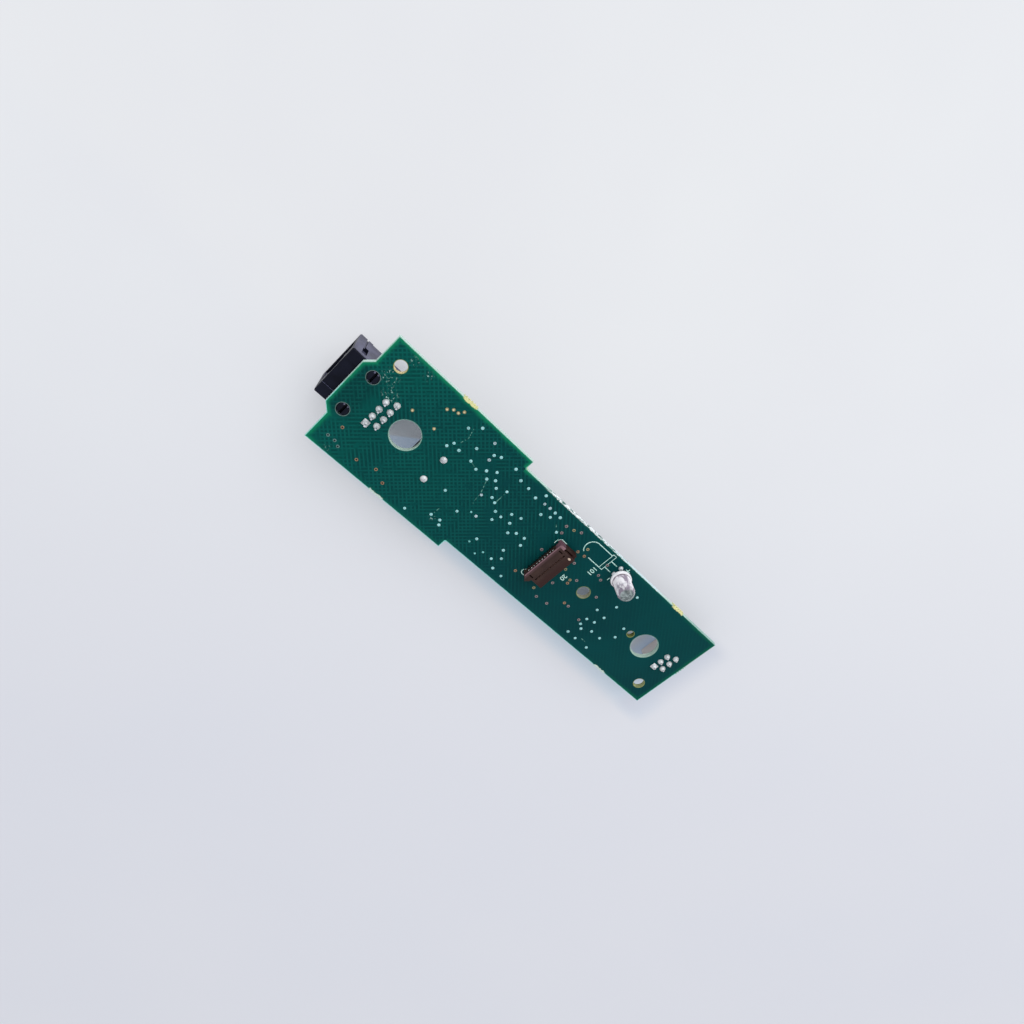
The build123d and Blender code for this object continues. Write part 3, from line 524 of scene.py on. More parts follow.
def socket_brown():
    """Brown moulding of the link socket: redder along one side, with pale edges and a lighter band along
    the other as painted highlight.
    """
    f = Finish("link_brown", shade(60, 42, 39), 0.5, Specular_IOR_Level=0.2)
    x, y, z = f.axes()
    low, high = link_low / mm, link_high / mm
    cloud = f.noise(420, 4)
    brown = f.mix(f.step(cloud, 0.3, 0.7), shade(51, 33, 29), shade(62, 43, 37))
    base = f.mix(f.step(x, low.x + 3.4, high.x - 1.0), brown, shade(50, 27, 23))
    upper = f.step(z, high.z - 0.3, high.z - 0.12)
    # Pale mauve on the top edges of one side and of the ear, and the lighter band beside them, are painted
    # highlight.
    side_rim_highlight = f.fall(f.maths("MULTIPLY_ADD", cloud, 0.2, x), low.x + 0.28, low.x + 0.42)
    ear_rim_highlight = f.step(f.maths("MULTIPLY_ADD", cloud, 0.3, y), high.y - 0.75, high.y - 0.5)
    rim = f.maths("MULTIPLY", f.maths("MAXIMUM", side_rim_highlight, ear_rim_highlight), upper)
    base = f.mix(f.maths("MULTIPLY", rim, 0.85), base, shade(146, 112, 120))
    near_side = f.maths("MULTIPLY", f.fall(x, low.x + 0.6, low.x + 1.1), 0.35)
    base = f.mix(f.maths("MULTIPLY", near_side, upper), base, shade(104, 76, 82))
    ear = f.maths("MULTIPLY", f.step(y, high.y - 2.2, high.y - 1.4), f.fall(x, low.x + 1.9, low.x + 2.3))
    lower = f.maths("SUBTRACT", 1.0, upper)
    base = f.mix(f.maths("MULTIPLY", ear, lower), base, shade(104, 74, 84))
    # Pale colour low in the slot is painted light that hides the shade there.
    from_slot = f.maths("ABSOLUTE", f.maths("SUBTRACT", x, slot_x))
    in_slot = f.maths("MULTIPLY", f.fall(from_slot, 0.3, 0.5), f.fall(f.maths("ABSOLUTE", y), 4.6, 5.0))
    in_slot = f.maths("MULTIPLY", in_slot, lower)
    f.set("Base Color", f.mix(in_slot, base, shade(150, 116, 106)))
    f.set("Roughness", f.span(f.noise(600, 3), 0.3, 0.7, 0.44, 0.58))
    f.bump(f.noise(1400, 2), 0.12, 0.02 * mm)
    return f.made


def clear_resin():
    """Clear cast resin with painted reflections: white streaks on its sides, a white flange and a pale ring
    at the dome; a dark band of painted shade above the flange; and a dark mottled tip painted as the board
    seen through it.
    """
    f = Finish("clear_resin", (0.9, 0.9, 0.92), 0.06, IOR=1.5)
    x, y, z = f.axes()
    tilt = f.maths("MULTIPLY_ADD", x, math.tan(lamp_lean), f.maths("MULTIPLY", y, math.tan(lamp_side_lean)))
    height = f.maths("ADD", z, f.maths("SUBTRACT", tilt, lens_tilt_at_foot))
    streak = f.noise(640, 3, 0.6, 0.5, place=f.squeeze(1, 1, 0.3))
    fine = f.noise(900, 3, 0.6, 0.8, place=f.squeeze(1, 1, 0.5))
    # White streaks, and the pale ring below, are painted reflections.
    body = f.mix(f.step(streak, 0.36, 0.56), shade(150, 138, 154), shade(254, 251, 254))
    body = f.mix(f.maths("MULTIPLY", f.fall(fine, 0.3, 0.44), 0.35), body, shade(140, 130, 146))
    ring = f.maths("MULTIPLY", f.step(height, 8.9, 9.2), f.fall(height, 9.3, 9.7))
    body = f.mix(f.maths("MULTIPLY", ring, 0.5), body, shade(176, 172, 182))
    # Dark band just above the flange is painted shade; the white flange is a painted reflection.
    gap = f.maths("MULTIPLY", f.step(height, 5.04, 5.1), f.fall(height, 5.25, 5.45))
    body = f.mix(f.maths("MULTIPLY", gap, 0.85), body, shade(92, 72, 86))
    flange = f.fall(height, 5.03, 5.07)
    body = f.mix(f.maths("MULTIPLY", flange, 0.9), body, shade(252, 252, 254))
    # Dark mottled tip is the board seen through the resin, painted.
    tip = f.step(f.maths("MULTIPLY_ADD", streak, 1.4, height), 11.95, 12.6)
    board_painted_in_tip = f.mix(f.step(fine, 0.38, 0.62), shade(58, 84, 82), shade(172, 190, 188))
    body = f.mix(f.maths("MULTIPLY", tip, 0.9), body, board_painted_in_tip)
    f.set("Base Color", body)
    f.set("Transmission Weight", f.span(height, 10.0, 12.0, 0.12, 0.4))
    f.bump(streak, 0.08, 0.05 * mm)
    return f.made


def ink():
    f = Finish("pale_ink", shade(170, 220, 205), 0.6)
    wear_and_highlight = f.step(f.noise(1800, 3), 0.3, 0.55)
    f.set("Base Color", f.mix(wear_and_highlight, shade(120, 188, 172), shade(208, 244, 234)))
    f.bump(f.noise(2500, 2), 0.3, 0.01 * mm)
    return f.made


def dull_copper(name, first, second):
    """Copper land under thin mask."""
    f = Finish(name, first, 0.5, 0.15)
    f.set("Base Color", f.mix(f.step(f.noise(1300, 2), 0.35, 0.65), first, second))
    f.bump(f.noise(3000, 2), 0.2, 0.02 * mm)
    return f.made


def winding():
    f = Finish("copper_wire", shade(150, 80, 40), 0.35, 0.8)
    turns = f.node("ShaderNodeTexWave", {"Vector": f.place, "Scale": 900.0}, output=1, bands_direction="Z")
    f.set("Base Color", f.mix(turns, shade(96, 44, 22), shade(184, 104, 56)))
    f.bump(turns, 0.5, 0.05 * mm)
    return f.made


mask = solder_mask()
edge = cut_edge()
torn = laminate("torn_laminate", shade(246, 244, 190), shade(150, 146, 74), 800)
pale_torn = laminate("pale_torn_laminate", shade(226, 236, 230), shade(160, 190, 178), 1100)
pale_bore = laminate("pale_bore", shade(192, 212, 200), shade(146, 172, 158), 1300)
yellow_bore = laminate("yellow_bore", shade(180, 186, 136), shade(120, 126, 78), 1300)
olive_bore = laminate("olive_bore", shade(132, 134, 70), shade(82, 84, 42), 1300)
grey_bore = laminate("grey_bore", shade(168, 166, 140), shade(134, 134, 116), 1300)
cream_bore = laminate("cream_bore", shade(236, 222, 176), shade(190, 168, 110), 1300)
post_bore = laminate("post_bore", shade(70, 96, 84), shade(20, 44, 38), 1300)
solder = metal("solder", shade(222, 225, 226), 0.45, shade(168, 174, 176), 0.3)
via_solder = metal("via_solder", shade(164, 219, 220), 0.5, shade(130, 188, 188), 0.15)
# Darker disc on some vias: painted shade of a small pit.
via_pit_shade = moulded("via_pit_shade", shade(96, 146, 144), 0.6)
via_tint = metal("via_tint", shade(180, 204, 210), 0.5, shade(138, 158, 164), 0.15)
via_dim = metal("via_dim", shade(134, 206, 204), 0.5, shade(98, 170, 166), 0.15)
tinned = metal("tinned_lead", shade(222, 222, 225), 0.28, shade(164, 164, 168), 0.8)
steel = metal("bare_steel", shade(190, 192, 196), 0.35, shade(140, 142, 146))
ferrite = moulded("ferrite", shade(58, 58, 60), 0.6, grain=2200)
jack_black = moulded("jack_black", shade(10, 13, 28), 0.4, Specular_IOR_Level=0.12)
# The jack's sides are its black plastic painted lighter as reflection; its pale front edge is painted
# highlight.
jack_side_sheen = moulded("jack_side_sheen", shade(76, 76, 99), 0.4, Specular_IOR_Level=0.4)
jack_edge_highlight = moulded("jack_edge_highlight", shade(168, 168, 176), 0.4)
insert_black = moulded("insert_black", shade(22, 22, 26), 0.5)
link_brown = socket_brown()
cream = moulded("cream_spot", shade(206, 182, 160), 0.6, lift=0.06)
flex_ivory = moulded("flex_ivory", shade(220, 211, 209), 0.45, lift=0.05)
sounder_black = moulded("sounder_black", shade(20, 20, 22), 0.5)
chip_black = moulded("chip_black", shade(34, 34, 36), 0.6, grain=3000)
tan_ceramic = moulded("tan_ceramic", shade(170, 134, 96), 0.55, lift=0.15)
resistor_black = moulded("resistor_black", shade(28, 28, 32), 0.4)
chip_glow = moulded("light_source", shade(216, 206, 120), 0.4, lift=0.1)
resin = clear_resin()
pale_ink = ink()
via_copper = dull_copper("via_copper", shade(164, 126, 92), shade(140, 108, 80))
via_gold = dull_copper("via_gold", shade(158, 146, 104), shade(134, 126, 88))
via_rose = dull_copper("via_rose", shade(148, 130, 130), shade(124, 110, 112))
via_grey = dull_copper("via_grey", shade(104, 140, 136), shade(74, 108, 104))
# Dark discs that close open bores are painted shade in the holes.
dark_bore_shade = moulded("dark_bore_shade", shade(8, 14, 14), 0.8)
pale_bore_land = dull_copper("pale_bore_land", shade(236, 222, 186), shade(206, 184, 138))
warm_bore_shade = dull_copper("warm_bore_shade", shade(66, 58, 60), shade(46, 48, 52))


# Short ways to build a piece

def finish_piece(name, bm, finishes, stands_for=(), smooth=True):
    """Turn a bmesh into a piece of the object."""
    mesh = bpy.data.meshes.new(name)
    bm.to_mesh(mesh)
    bm.free()
    for made in finishes:
        mesh.materials.append(made)
    mesh.polygons.foreach_set("use_smooth", [smooth] * len(mesh.polygons))
    piece = bpy.data.objects.new(name, mesh)
    bpy.context.scene.collection.objects.link(piece)
    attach(piece, "root")
    if stands_for:
        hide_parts(*stands_for)


def merged_copy(node):
    """Mesh of a CAD node with its loose triangles joined."""
    bm = bmesh.new()
    bm.from_mesh(nodes[node].data)
    bmesh.ops.remove_doubles(bm, verts=bm.verts, dist=merge_gap)
    return bm


def flat_copy(node):
    """Mesh of a CAD node with each flat face in one piece."""
    bm = merged_copy(node)
    bmesh.ops.dissolve_limit(bm, angle_limit=flat_angle, verts=bm.verts, edges=bm.edges)
    return bm


def bevel(bm, edges, offset, segments):
    """Round edges of bm, and return what that made."""
    return bmesh.ops.bevel(
        bm, geom=edges, offset=offset, affect="EDGES", segments=segments, profile=0.5, material=-1,
        clamp_overlap=True)


def islands(node):
    """Boxes of the separate solids of a CAD node, as (lowest corner, highest corner)."""
    bm = merged_copy(node)
    left = set(bm.verts)
    boxes = []
    while left:
        front = [left.pop()]
        found = list(front)
        while front:
            vert = front.pop()
            near = {e.other_vert(vert) for e in vert.link_edges} & left
            left -= near
            front.extend(near)
            found.extend(near)
        places = [v.co for v in found]
        boxes.append([Vector([pick(p[i] for p in places) for i in range(3)]) for pick in (min, max)])
    bm.free()
    return sorted(boxes, key=lambda b: (round(b[0].x, 5), round(b[0].y, 5)))


def mean_radius(low, high):
    """Radius of a round solid, from the corners of its box."""
    return (high.y - low.y + high.x - low.x) / 4


def spun(bm, profile, steps, matrix=Matrix.Identity(4), finish=0):
    """Turn a profile of (radius, height) points about Z into bm, closed at its poles, and place it."""
    part = bmesh.new()
    verts = [part.verts.new((r, 0, h)) for r, h in profile]
    edges = [part.edges.new(pair) for pair in zip(verts, verts[1:])]
    bmesh.ops.spin(
        part, geom=verts + edges, cent=(0, 0, 0), axis=(0, 0, 1), angle=2 * math.pi, steps=steps,
        use_merge=True)
    bmesh.ops.remove_doubles(part, verts=part.verts, dist=merge_gap)
    bmesh.ops.recalc_face_normals(part, faces=part.faces)
    bmesh.ops.transform(part, matrix=matrix, verts=part.verts)
    for face in part.faces:
        face.material_index = finish
    add(bm, part)


def add(bm, part):
    """Add the mesh of part to bm."""
    mesh = bpy.data.meshes.new("passing")
    part.to_mesh(mesh)
    part.free()
    bm.from_mesh(mesh)
    bpy.data.meshes.remove(mesh)


# Board

board_finishes = [
    mask, edge, torn, pale_torn, pale_bore, yellow_bore, post_bore, grey_bore, cream_bore, olive_bore]
bore_finishes = [
    (pale_bore, large_holes), (grey_bore, [middle_hole]), (cream_bore, [near_corner_hole]),
    (yellow_bore, [far_corner_hole]), (olive_bore, [locating_hole]), (post_bore, post_holes)]


def board_piece():
    """The board with broken rims: green faces, pale cut edges, torn stubs and bored walls."""
    bm = flat_copy("circuit_board")
    rims = [e for e in bm.edges if len(e.link_faces) == 2 and is_rim(e)]
    bevel(bm, rims, rim_bevel, 2)
    for face in bm.faces:
        face.material_index = board_finishes.index(board_finish(face))
    finish_piece("board", bm, board_finishes, ["circuit_board"], smooth=False)


def is_rim(e):
    """An edge between a flat face of the board and a wall."""
    a, b = [face.normal.z for face in e.link_faces]
    return abs(abs(a) - abs(b)) > rim_turn


def board_finish(face):
    """Finish of a face of the board."""
    middle = face.calc_center_median() / mm
    half = wide_half if middle.x < step_x else narrow_half
    if middle.y > half + stub_gap:
        return torn
    if middle.y < -half - stub_gap or middle.x > board_end + stub_gap:
        return pale_torn
    if abs(face.normal.z) > flat_normal:
        return mask
    for finish, holes in bore_finishes:
        if any(math.hypot(middle.x - x, middle.y - y) < radius + bore_gap for x, y, radius in holes):
            return finish
    at_side = half - abs(middle.y) < outline_gap
    at_end = middle.x < wide_start + outline_gap or middle.x > board_end - outline_gap
    at_step = abs(middle.x - step_x) < step_gap and abs(middle.y) > narrow_half - outline_gap
    return edge if at_side or at_end or at_step else yellow_bore


board_piece()


# Vias and solder

via_finishes = [via_solder, via_pit_shade, via_tint, via_dim]
ring_finishes = [via_copper, via_gold, via_rose, via_grey, dark_bore_shade, pale_bore_land, warm_bore_shade]
ring_draw = (via_copper, via_rose, via_rose, via_gold, via_copper, via_rose, via_rose)


def is_near(place, spots):
    """Whether a place is over one of some spots given in millimetres."""
    return any(math.hypot(place.x / mm - x, place.y / mm - y) < spot_reach for x, y in spots)


def boxes_below():
    """Boxes of what stands below the board."""
    wide = ("jack_housing", "sounder_base", "flex_socket_housing", "controller_leads", "transceiver_leads")
    small = ("capacitor_bodies", "capacitor_ends", "resistor_bodies", "resistor_ends", "lamp_solder_joints")
    return [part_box(node) for node in wide] + [box for node in small for box in islands(node)]


def is_free(place, boxes):
    """Whether a place on the lower face has room for a via."""
    return not any(
        low.x - via_room < place.x < high.x + via_room and low.y - via_room < place.y < high.y + via_room
        for low, high in boxes)


def lower_side(place):
    """Where the lower end of a via lies."""
    return Matrix.Translation((place.x, place.y, -board_thickness)) @ Matrix.Rotation(math.pi, 4, "X")


def via_pads():
    """Filled vias: low pads on both faces, some with a small flat darker disc on top as the painted shade
    of a pit.
    """
    bm = bmesh.new()
    boxes = islands("soldered_vias")
    first_low, first_high = boxes[0]
    shifts = [Vector((x * mm, y * mm, 0)) - (first_low + first_high) / 2 for x, y in added_vias]
    for shift in shifts:
        shift.z = 0
        boxes.append((first_low + shift, first_high + shift))
    for low, high in boxes:
        middle = (low + high) / 2
        small = is_near(middle, small_vias)
        radius = mean_radius(low, high) * dice.uniform(1 - via_spread_share, 1 + via_spread_share)
        if small:
            radius *= small_via_share
        height = high.z - low.z
        turn = Matrix.Rotation(dice.uniform(0, math.pi), 4, "Z")
        place = Matrix.Translation((middle.x, middle.y, low.z)) @ turn
        tone = via_dim if small else via_tint if is_near(middle, tinted_vias) else via_solder
        pad = [(r * radius, h * height) for r, h in via_profile_shares]
        spun(bm, pad, via_steps, place, finish=via_finishes.index(tone))
        if is_free(middle, taken_below):
            spun(bm, pad, via_steps, lower_side(middle))
        # A darker disc on top is the painted shade of a small pit.
        if dice.random() < pit_chance:
            shift = [dice.uniform(-pit_shift, pit_shift) for _ in range(2)]
            pit = [(via_pit_share * radius, height), (0, height)]
            pit_place = Matrix.Translation((*shift, 0)) @ place
            spun(bm, pit, via_steps, pit_place, finish=via_finishes.index(via_pit_shade))
    finish_piece("via_pads", bm, via_finishes, ["soldered_vias"])


def ring_lands():
    """Copper rings in several tones, each bore closed by a disc; the dark discs are painted shade in the
    hole, and beside the jack some discs are pale.
    """
    bm = bmesh.new()
    for low, high in islands("open_vias"):
        middle = (low + high) / 2
        radius = mean_radius(low, high)
        height = high.z - low.z
        beside_jack = middle.x < jack_rings_x
        if middle.x < grey_rings_x and middle.y < grey_rings_y:
            tone, bore = via_grey, dark_bore_shade
        elif beside_jack:
            tone, bore = (via_gold, pale_bore_land) if middle.y > 0 else (via_copper, dark_bore_shade)
        else:
            tone, bore = dice.choice(ring_draw), warm_bore_shade
        inner = (jack_bore_share if beside_jack else bore_share) * radius
        depth = bore_depth_share * height
        slope = inner + bore_slope_share * radius
        ring = [(inner, depth), (slope, height), (ring_crown_share * radius, height), (radius, 0)]
        floor = [(inner + bore_overlap_share * radius, bore_rim_share * height), (0, depth)]
        places = [Matrix.Translation((middle.x, middle.y, low.z))]
        if is_free(middle, taken_below):
            places.append(lower_side(middle))
        for place in places:
            spun(bm, ring, via_steps, place, finish=ring_finishes.index(tone))
            spun(bm, floor, via_steps, place, finish=ring_finishes.index(bore))
    finish_piece("open_via_rings", bm, ring_finishes, ["open_vias"])


def square_land(bm, middle):
    """Pillow of solder on a square land."""
    part = bmesh.new()
    size = Matrix.Diagonal((land_width, land_width, land_height, 1))
    place = Matrix.Translation((middle.x, middle.y, land_height / 2))
    bmesh.ops.create_cube(part, size=1.0, matrix=place @ size)
    top = [e for e in part.edges if sum(v.co.z > land_height / 2 for v in e.verts) == 2]
    bevel(part, top, land_edge, 3)
    add(bm, part)


def joints(name, node, squared=False, share=1.0):
    """Rounded joints, each a little different, in place of a node's stepped ones."""
    bm = bmesh.new()
    boxes = islands(node)
    if squared:
        low, high = min(boxes, key=lambda b: b[0].y)
        square_land(bm, (low + high) / 2)
    for low, high in boxes:
        middle = (low + high) / 2
        radius = min(high.x - low.x, high.y - low.y) / 2 * share
        height = high.z - low.z
        turn = Matrix.Rotation(dice.uniform(0, math.pi), 4, "Z")
        above = middle.z > upper_side_z
        upright = Matrix.Identity(4) if above else Matrix.Rotation(math.pi, 4, "X")
        foot = low.z if above else high.z
        squash = Matrix.Diagonal((*[dice.uniform(joint_squash_share, 1.0) for _ in range(2)], 1, 1))
        place = Matrix.Translation((middle.x, middle.y, foot)) @ upright @ turn @ squash
        outline = [(r * radius, h * height) for r, h in joint_profile_shares]
        spun(bm, outline, joint_steps, place)
    bmesh.ops.recalc_face_normals(bm, faces=bm.faces)
    finish_piece(name, bm, [solder], [node])


taken_below = boxes_below()
via_pads()
ring_lands()
joints("jack_joints", "jack_solder_joints", squared=True)
joints("flex_joints", "flex_socket_solder_joints", squared=True)
joints("lamp_joints", "lamp_solder_joints", share=lamp_joint_share)
joints("sounder_joints", "sounder_solder_joints")


# Jack

def is_roof_edge(e):
    """A long edge of the jack that lies against the board."""
    upper = all(abs(v.co.z + board_thickness) < level_gap for v in e.verts)
    return upper and len(e.link_faces) == 2 and e.calc_length() > jack_bevel_edge


def is_front_edge(e):
    """An edge of the jack across the board, past its wide part."""
    first, second = [v.co.x for v in e.verts]
    return abs(first - second) < level_gap and first < wide_start * mm


def jack_piece():
    """The jack with rounded long edges, its sides painted lighter as reflection, and a pale front edge as
    painted highlight.
    """
    finishes = [jack_black, jack_side_sheen, jack_edge_highlight]
    bm = flat_copy("jack_housing")
    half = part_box("jack_housing")[1].y
    roof = [e for e in bm.edges if is_roof_edge(e)]
    sides = [e for e in roof if all(abs(v.co.y) > half - level_gap for v in e.verts)]
    bevel(bm, sides, jack_roof_bevel, 4)
    for face in bm.faces:
        face.material_index = finishes.index(jack_side_sheen if abs(face.normal.y) > side_normal else jack_black)
    # The worn-looking front bevel is a painted highlight.
    front = [e for e in bm.edges if is_roof_edge(e) and is_front_edge(e)]
    wear_and_highlight = bevel(bm, front, jack_front_bevel, 1)
    for face in wear_and_highlight["faces"]:
        face.material_index = finishes.index(jack_edge_highlight)
    finish_piece("jack", bm, finishes, ["jack_housing"], smooth=False)


jack_piece()


# Lamp

lamp_joint_boxes = [b for b in islands("lamp_solder_joints") if b[0].z > upper_side_z]
lamp_foot = sum(((low + high) / 2 for low, high in lamp_joint_boxes), Vector()) / len(lamp_joint_boxes)
lamp_foot.z = 0
lamp_turn = Matrix.Rotation(-lamp_side_lean, 4, "X") @ Matrix.Rotation(lamp_lean, 4, "Y")
lamp_place = Matrix.Translation(lamp_foot) @ lamp_turn


def lens_piece():
    """Clear lens: flange with a flat, round body and dome."""
    bm = bmesh.new()
    flange_top = lens_low + lens_flange_height
    dome_z = lens_low + lens_length - lens_radius
    arc = [i / lens_dome_steps * math.pi / 2 for i in range(1, lens_dome_steps)]
    dome = [(lens_radius * math.cos(a), dome_z + lens_radius * math.sin(a)) for a in arc]
    profile = [
        (0, lens_low), (lens_flange_radius - lens_edge, lens_low),
        (lens_flange_radius, lens_low + lens_edge), (lens_flange_radius, flange_top - lens_edge),
        (lens_flange_radius - lens_edge, flange_top),
        (lens_radius + lens_edge, flange_top), (lens_radius, flange_top + lens_edge), (lens_radius, dome_z)]
    spun(bm, profile + dome + [(0, lens_low + lens_length)], lens_steps)
    for vert in bm.verts:
        vert.co.y = max(vert.co.y, -lens_flat)
    bmesh.ops.transform(bm, matrix=lamp_place, verts=bm.verts)
    finish_piece("lens", bm, [resin], ["lamp_lens"])


lens_piece()


# Ink lines and the dab on the link socket

def curve_mesh(curve, place):
    """Mesh of a curve, put in its place."""
    holder = bpy.data.objects.new(curve.name, curve)
    mesh = bpy.data.meshes.new_from_object(holder)
    bpy.data.objects.remove(holder)
    mesh.transform(place)
    return mesh


def ink_line(points, closed=False):
    """Thin flat line of ink through points on the board in millimetres, as a mesh."""
    curve = bpy.data.curves.new("line", "CURVE")
    curve.dimensions = "3D"
    curve.bevel_depth = ink_width / 2
    curve.bevel_resolution = 1
    curve.use_fill_caps = True
    spline = curve.splines.new("POLY")
    spline.points.add(len(points) - 1)
    for point, (x, y) in zip(spline.points, points):
        point.co = (x * mm, y * mm, 0, 1)
    spline.use_cyclic_u = closed
    return curve_mesh(curve, Matrix.Diagonal((1, 1, ink_height / ink_width * 2, 1)))


def ink_number(text, middle, size, turn):
    """Plain number in ink, its middle given in millimetres."""
    curve = bpy.data.curves.new("number", "FONT")
    curve.body = text
    curve.size = size * mm
    curve.extrude = ink_height / 2
    curve.offset = ink_swell
    curve.align_x = "CENTER"
    curve.align_y = "CENTER"
    place = Matrix.Translation((middle[0] * mm, middle[1] * mm, ink_height / 2))
    return curve_mesh(curve, place @ Matrix.Rotation(turn, 4, "Z"))


def arc_points(middle, radius, start, end, steps):
    """Points along an arc between two angles in degrees."""
    turns = [math.radians(start + (end - start) * i / steps) for i in range(steps + 1)]
    return [(middle[0] + radius * math.cos(a), middle[1] + radius * math.sin(a)) for a in turns]


def ink_piece():
    """Outline of a lying lamp and its leads, plus and minus, marks by the link socket, plain numbers."""
    cap = arc_points((11.5, 11.29), 2.54, 90, 235, 16)
    pin_one = arc_points((3.4, -7.0), 0.93, 0, 330, 11)
    meshes = [
        ink_line([(17.0, 13.83)] + cap),
        ink_line([(12.5, 8.75), (17.0, 8.75)]),
        ink_line([(16.95, 8.75), (18.1, 8.75), (18.1, 14.35), (16.95, 14.35)], closed=True),
        ink_line([(18.1, 12.45), (20.5, 12.45)]),
        ink_line([(18.1, 9.93), (20.5, 9.93)]),
        ink_line([(23.15, 13.6), (24.65, 13.6)]),
        ink_line([(23.9, 12.85), (23.9, 14.35)]),
        ink_line([(21.9, 7.6), (21.9, 8.5)]),
        ink_line([(2.3, 5.26), (2.3, 6.46), (3.07, 7.46), (5.08, 7.46)]),
        ink_line(pin_one, closed=True),
        ink_number("101", (16.57, 6.56), 2.1, -math.pi / 2),
        ink_number("20", (12.4, -0.57), 2.0, -math.pi / 2)]
    bm = bmesh.new()
    for mesh in meshes:
        bm.from_mesh(mesh)
        bpy.data.meshes.remove(mesh)
    finish_piece("ink_marks", bm, [pale_ink], smooth=False)


def cream_spot():
    """Small cream-coloured dab on the link socket."""
    bm = bmesh.new()
    place = Matrix.Translation((*dab_place, link_high.z)) @ Matrix.Diagonal((*dab_size, 1))
    spun(bm, dab_profile_shares, via_steps, place)
    finish_piece("cream_spot", bm, [cream])


ink_piece()
cream_spot()


# Finishes of the CAD nodes that stay

node_finishes = {
    "jack_contact_insert": insert_black, "jack_contacts": jack_wire(),
    "lamp_cathode_lead": tinned, "lamp_anode_lead": tinned, "lamp_chip": chip_glow,
    "link_socket_housing": link_brown, "link_socket_contacts": link_wire(),
    "flex_socket_housing": flex_ivory, "flex_socket_contacts": tinned,
    "sounder_case": sounder_black, "sounder_base": sounder_black, "sounder_pins": tinned,
    "sounder_core": steel, "sounder_coil": winding(), "sounder_magnet": ferrite, "sounder_disc": steel,
    "controller_body": chip_black, "controller_leads": tinned,
    "transceiver_body": chip_black, "transceiver_leads": tinned,
    "capacitor_bodies": tan_ceramic, "capacitor_ends": tinned,
    "resistor_bodies": resistor_black, "resistor_ends": tinned}
for name, made in node_finishes.items():
    nodes[name].data.materials.clear()
    nodes[name].data.materials.append(made)


# Floor, light and camera

def lift_shadow(f, x, y, paper_and_light_falloff):
    """Let the floor keep part of its own brightness in the shadow, less of it under the board. Where it
    keeps more, on the window side, beside the jack and under two places of the board, is painted light; the
    bluish tints beside the -Y side, past the far end and under the board are painted shadow.
    """
    along = f.maths("MULTIPLY", f.step(x, -60, -50), f.fall(x, 62, 68))
    across = f.maths("MULTIPLY", f.step(y, -17, -11), f.fall(y, 2, 8))
    under = f.maths("MULTIPLY", along, across)
    # A lighter half-plane under the near large hole, and the far end under the board, are painted light.
    slant = f.maths("MULTIPLY_ADD", x, 0.62, f.maths("MULTIPLY", y, -0.78))
    past_edge = f.maths("MULTIPLY", f.step(slant, -24.0, -23.2), f.fall(x, -30, -10))
    lit = f.maths("MAXIMUM", past_edge, f.step(x, 50, 54))
    dark_share = f.span(lit, 0, 1, 0.04, 0.22)
    # More kept brightness on the window side and beside the jack is painted light.
    beside_jack = f.maths("MULTIPLY", f.fall(x, -66, -60), f.step(y, -12, 4))
    sunny = f.maths("MAXIMUM", f.step(y, 8, 13), beside_jack)
    light_share = f.node("ShaderNodeMix", {0: sunny, 2: 0.42, 3: f.span(x, -40, 50, 0.72, 0.5)})
    kept = f.node("ShaderNodeMix", {0: under, 2: light_share, 3: dark_share})
    share = f.maths("MULTIPLY", f.seen(), kept)
    # Bluish tints beside the -Y side, past the far end and under the board are painted shadow.
    end_fade = f.maths("MULTIPLY", f.fall(x, 69, 79), f.step(y, -27, -21))
    near_side = f.maths("MULTIPLY", f.fall(y, -17, -11), f.step(x, -64, -58))
    past_end = f.maths("MULTIPLY", f.step(x, 62, 68), f.fall(y, 10, 16))
    colour = f.mix(f.maths("MULTIPLY", end_fade, near_side), paper_and_light_falloff, shade(196, 216, 234))
    colour = f.mix(f.maths("MULTIPLY", end_fade, past_end), colour, shade(192, 200, 218))
    colour = f.mix(under, colour, shade(140, 180, 225))
    own = f.node("ShaderNodeEmission", {"Color": colour, "Strength": 0.96})
    blend = f.node("ShaderNodeMixShader", {0: share, 1: f.shader.outputs[0], 2: own})
    f.fill(f.tree.nodes["Material Output"], "Surface", blend)


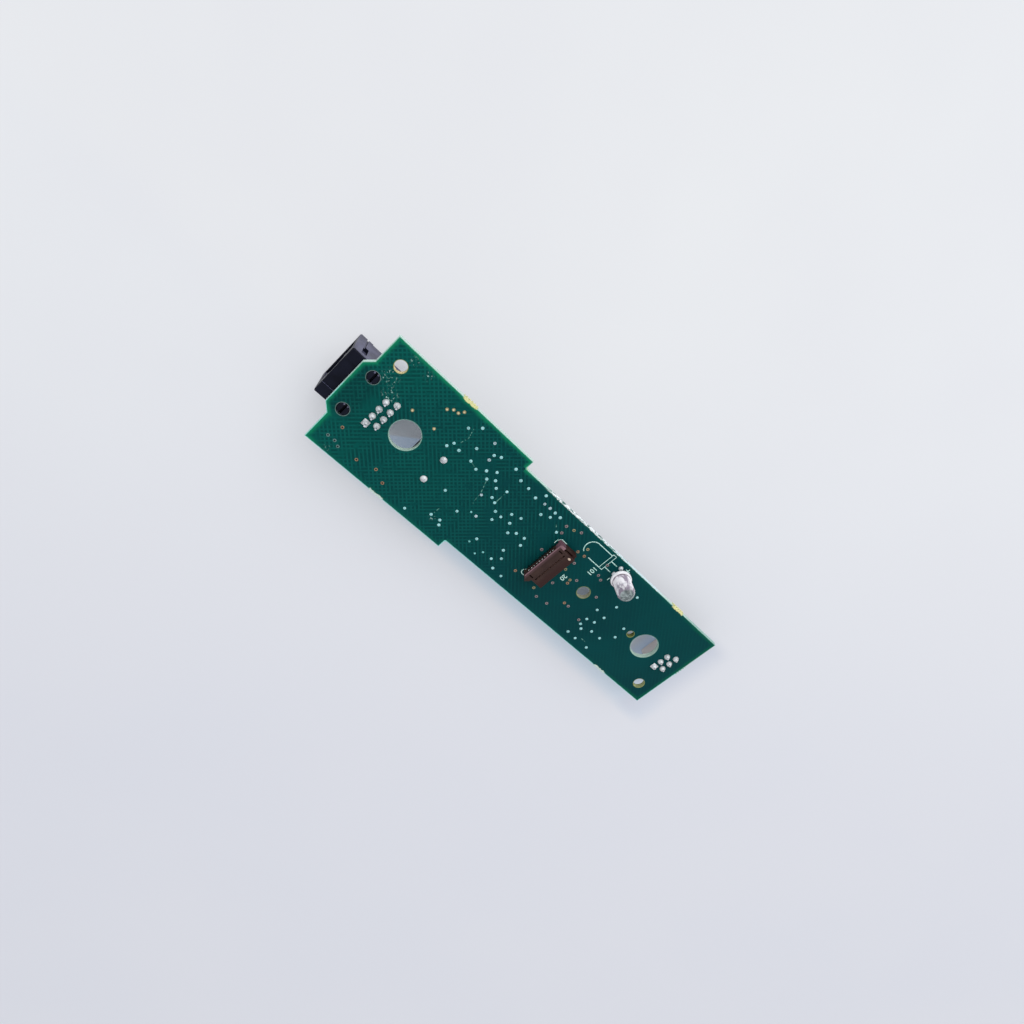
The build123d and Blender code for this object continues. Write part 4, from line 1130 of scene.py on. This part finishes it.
def floor_plane():
    """Pale floor under the jack's lowest edge and the flex socket, so it slopes as the part rests."""
    jack_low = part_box("jack_housing")[0].z
    at_bottom = [v.co.x for v in nodes["jack_housing"].data.vertices if v.co.z < jack_low + level_gap]
    jack_x = max(at_bottom)
    flex_low, flex_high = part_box("flex_socket_housing")
    slope = math.atan2(flex_low.z - jack_low, flex_high.x - jack_x)
    bm = bmesh.new()
    bmesh.ops.create_grid(bm, x_segments=1, y_segments=1, size=floor_half)
    lift = Matrix.Translation((jack_x, 0, jack_low)) @ Matrix.Rotation(-slope, 4, "Y")
    bmesh.ops.transform(bm, matrix=lift, verts=bm.verts)
    mesh = bpy.data.meshes.new("floor")
    bm.to_mesh(mesh)
    bm.free()
    f = Finish("floor", shade(228, 230, 237), 0.75, Specular_IOR_Level=0.1)
    x, y, _ = f.axes()
    # The floor is painted lighter towards the window side and darker away from it, as light falloff.
    across = f.maths("MULTIPLY_ADD", y, 0.9, f.maths("MULTIPLY", x, -0.7))
    paper_and_light_falloff = f.mix(f.step(across, -130, 110), shade(226, 228, 236), shade(238, 240, 243))
    cloud = f.maths("MULTIPLY", f.step(f.noise(9, 3), 0.3, 0.7), 0.4)
    paper_and_light_falloff = f.mix(cloud, paper_and_light_falloff, shade(230, 231, 237))
    f.set("Base Color", paper_and_light_falloff)
    f.bump(f.noise(120, 3), 0.05, 0.2 * mm)
    lift_shadow(f, x, y, paper_and_light_falloff)
    mesh.materials.append(f.made)
    floor = bpy.data.objects.new("floor", mesh)
    bpy.context.scene.collection.objects.link(floor)


def soft_light(name, place, size, watts):
    """Round light turned towards the middle of the board."""
    light = bpy.data.lights.new(name, "AREA")
    light.shape = "DISK"
    light.size = size
    light.energy = watts
    holder = bpy.data.objects.new(name, light)
    way = -Vector(place)
    holder.matrix_world = Matrix.Translation(place) @ way.to_track_quat("-Z", "Y").to_matrix().to_4x4()
    bpy.context.scene.collection.objects.link(holder)


def room():
    """Even light from the sides, dim overhead, and a pale background."""
    world = bpy.data.worlds.new("room")
    world.use_nodes = True
    g = Graph(world.node_tree)
    way = g.node("ShaderNodeTexCoord", {}, output="Generated")
    height = g.node("ShaderNodeSeparateXYZ", {0: way}, output="Z")
    low = g.maths("POWER", g.span(height, 0, 1, 1, 0), 2.0)
    level = g.maths("MULTIPLY_ADD", low, horizon - overhead, overhead)
    back = g.tree.nodes["Background"]
    g.fill(back, "Color", (*sky_tint, 1.0))
    g.fill(back, "Strength", level)
    pale = g.node("ShaderNodeBackground", {"Color": (*shade(224, 226, 233), 1.0)})
    blend = g.node("ShaderNodeMixShader", {0: g.seen(), 1: back.outputs[0], 2: pale})
    g.fill(g.tree.nodes["World Output"], "Surface", blend)
    bpy.context.scene.world = world


floor_plane()
soft_light("window", window_place, window_size, window_watts)
room()

camera = bpy.data.cameras.new("camera")
camera.lens = photo_lens
camera.sensor_width = photo_sensor
camera.sensor_fit = "HORIZONTAL"
camera.clip_start = 1 * mm
holder = bpy.data.objects.new("camera", camera)
turn = (aim - eye).to_track_quat("-Z", "Y").to_matrix().to_4x4() @ Matrix.Rotation(roll, 4, "Z")
holder.matrix_world = Matrix.Translation(eye) @ turn
bpy.context.scene.collection.objects.link(holder)
bpy.context.scene.camera = holder
bpy.context.scene.view_settings.view_transform = "Standard"
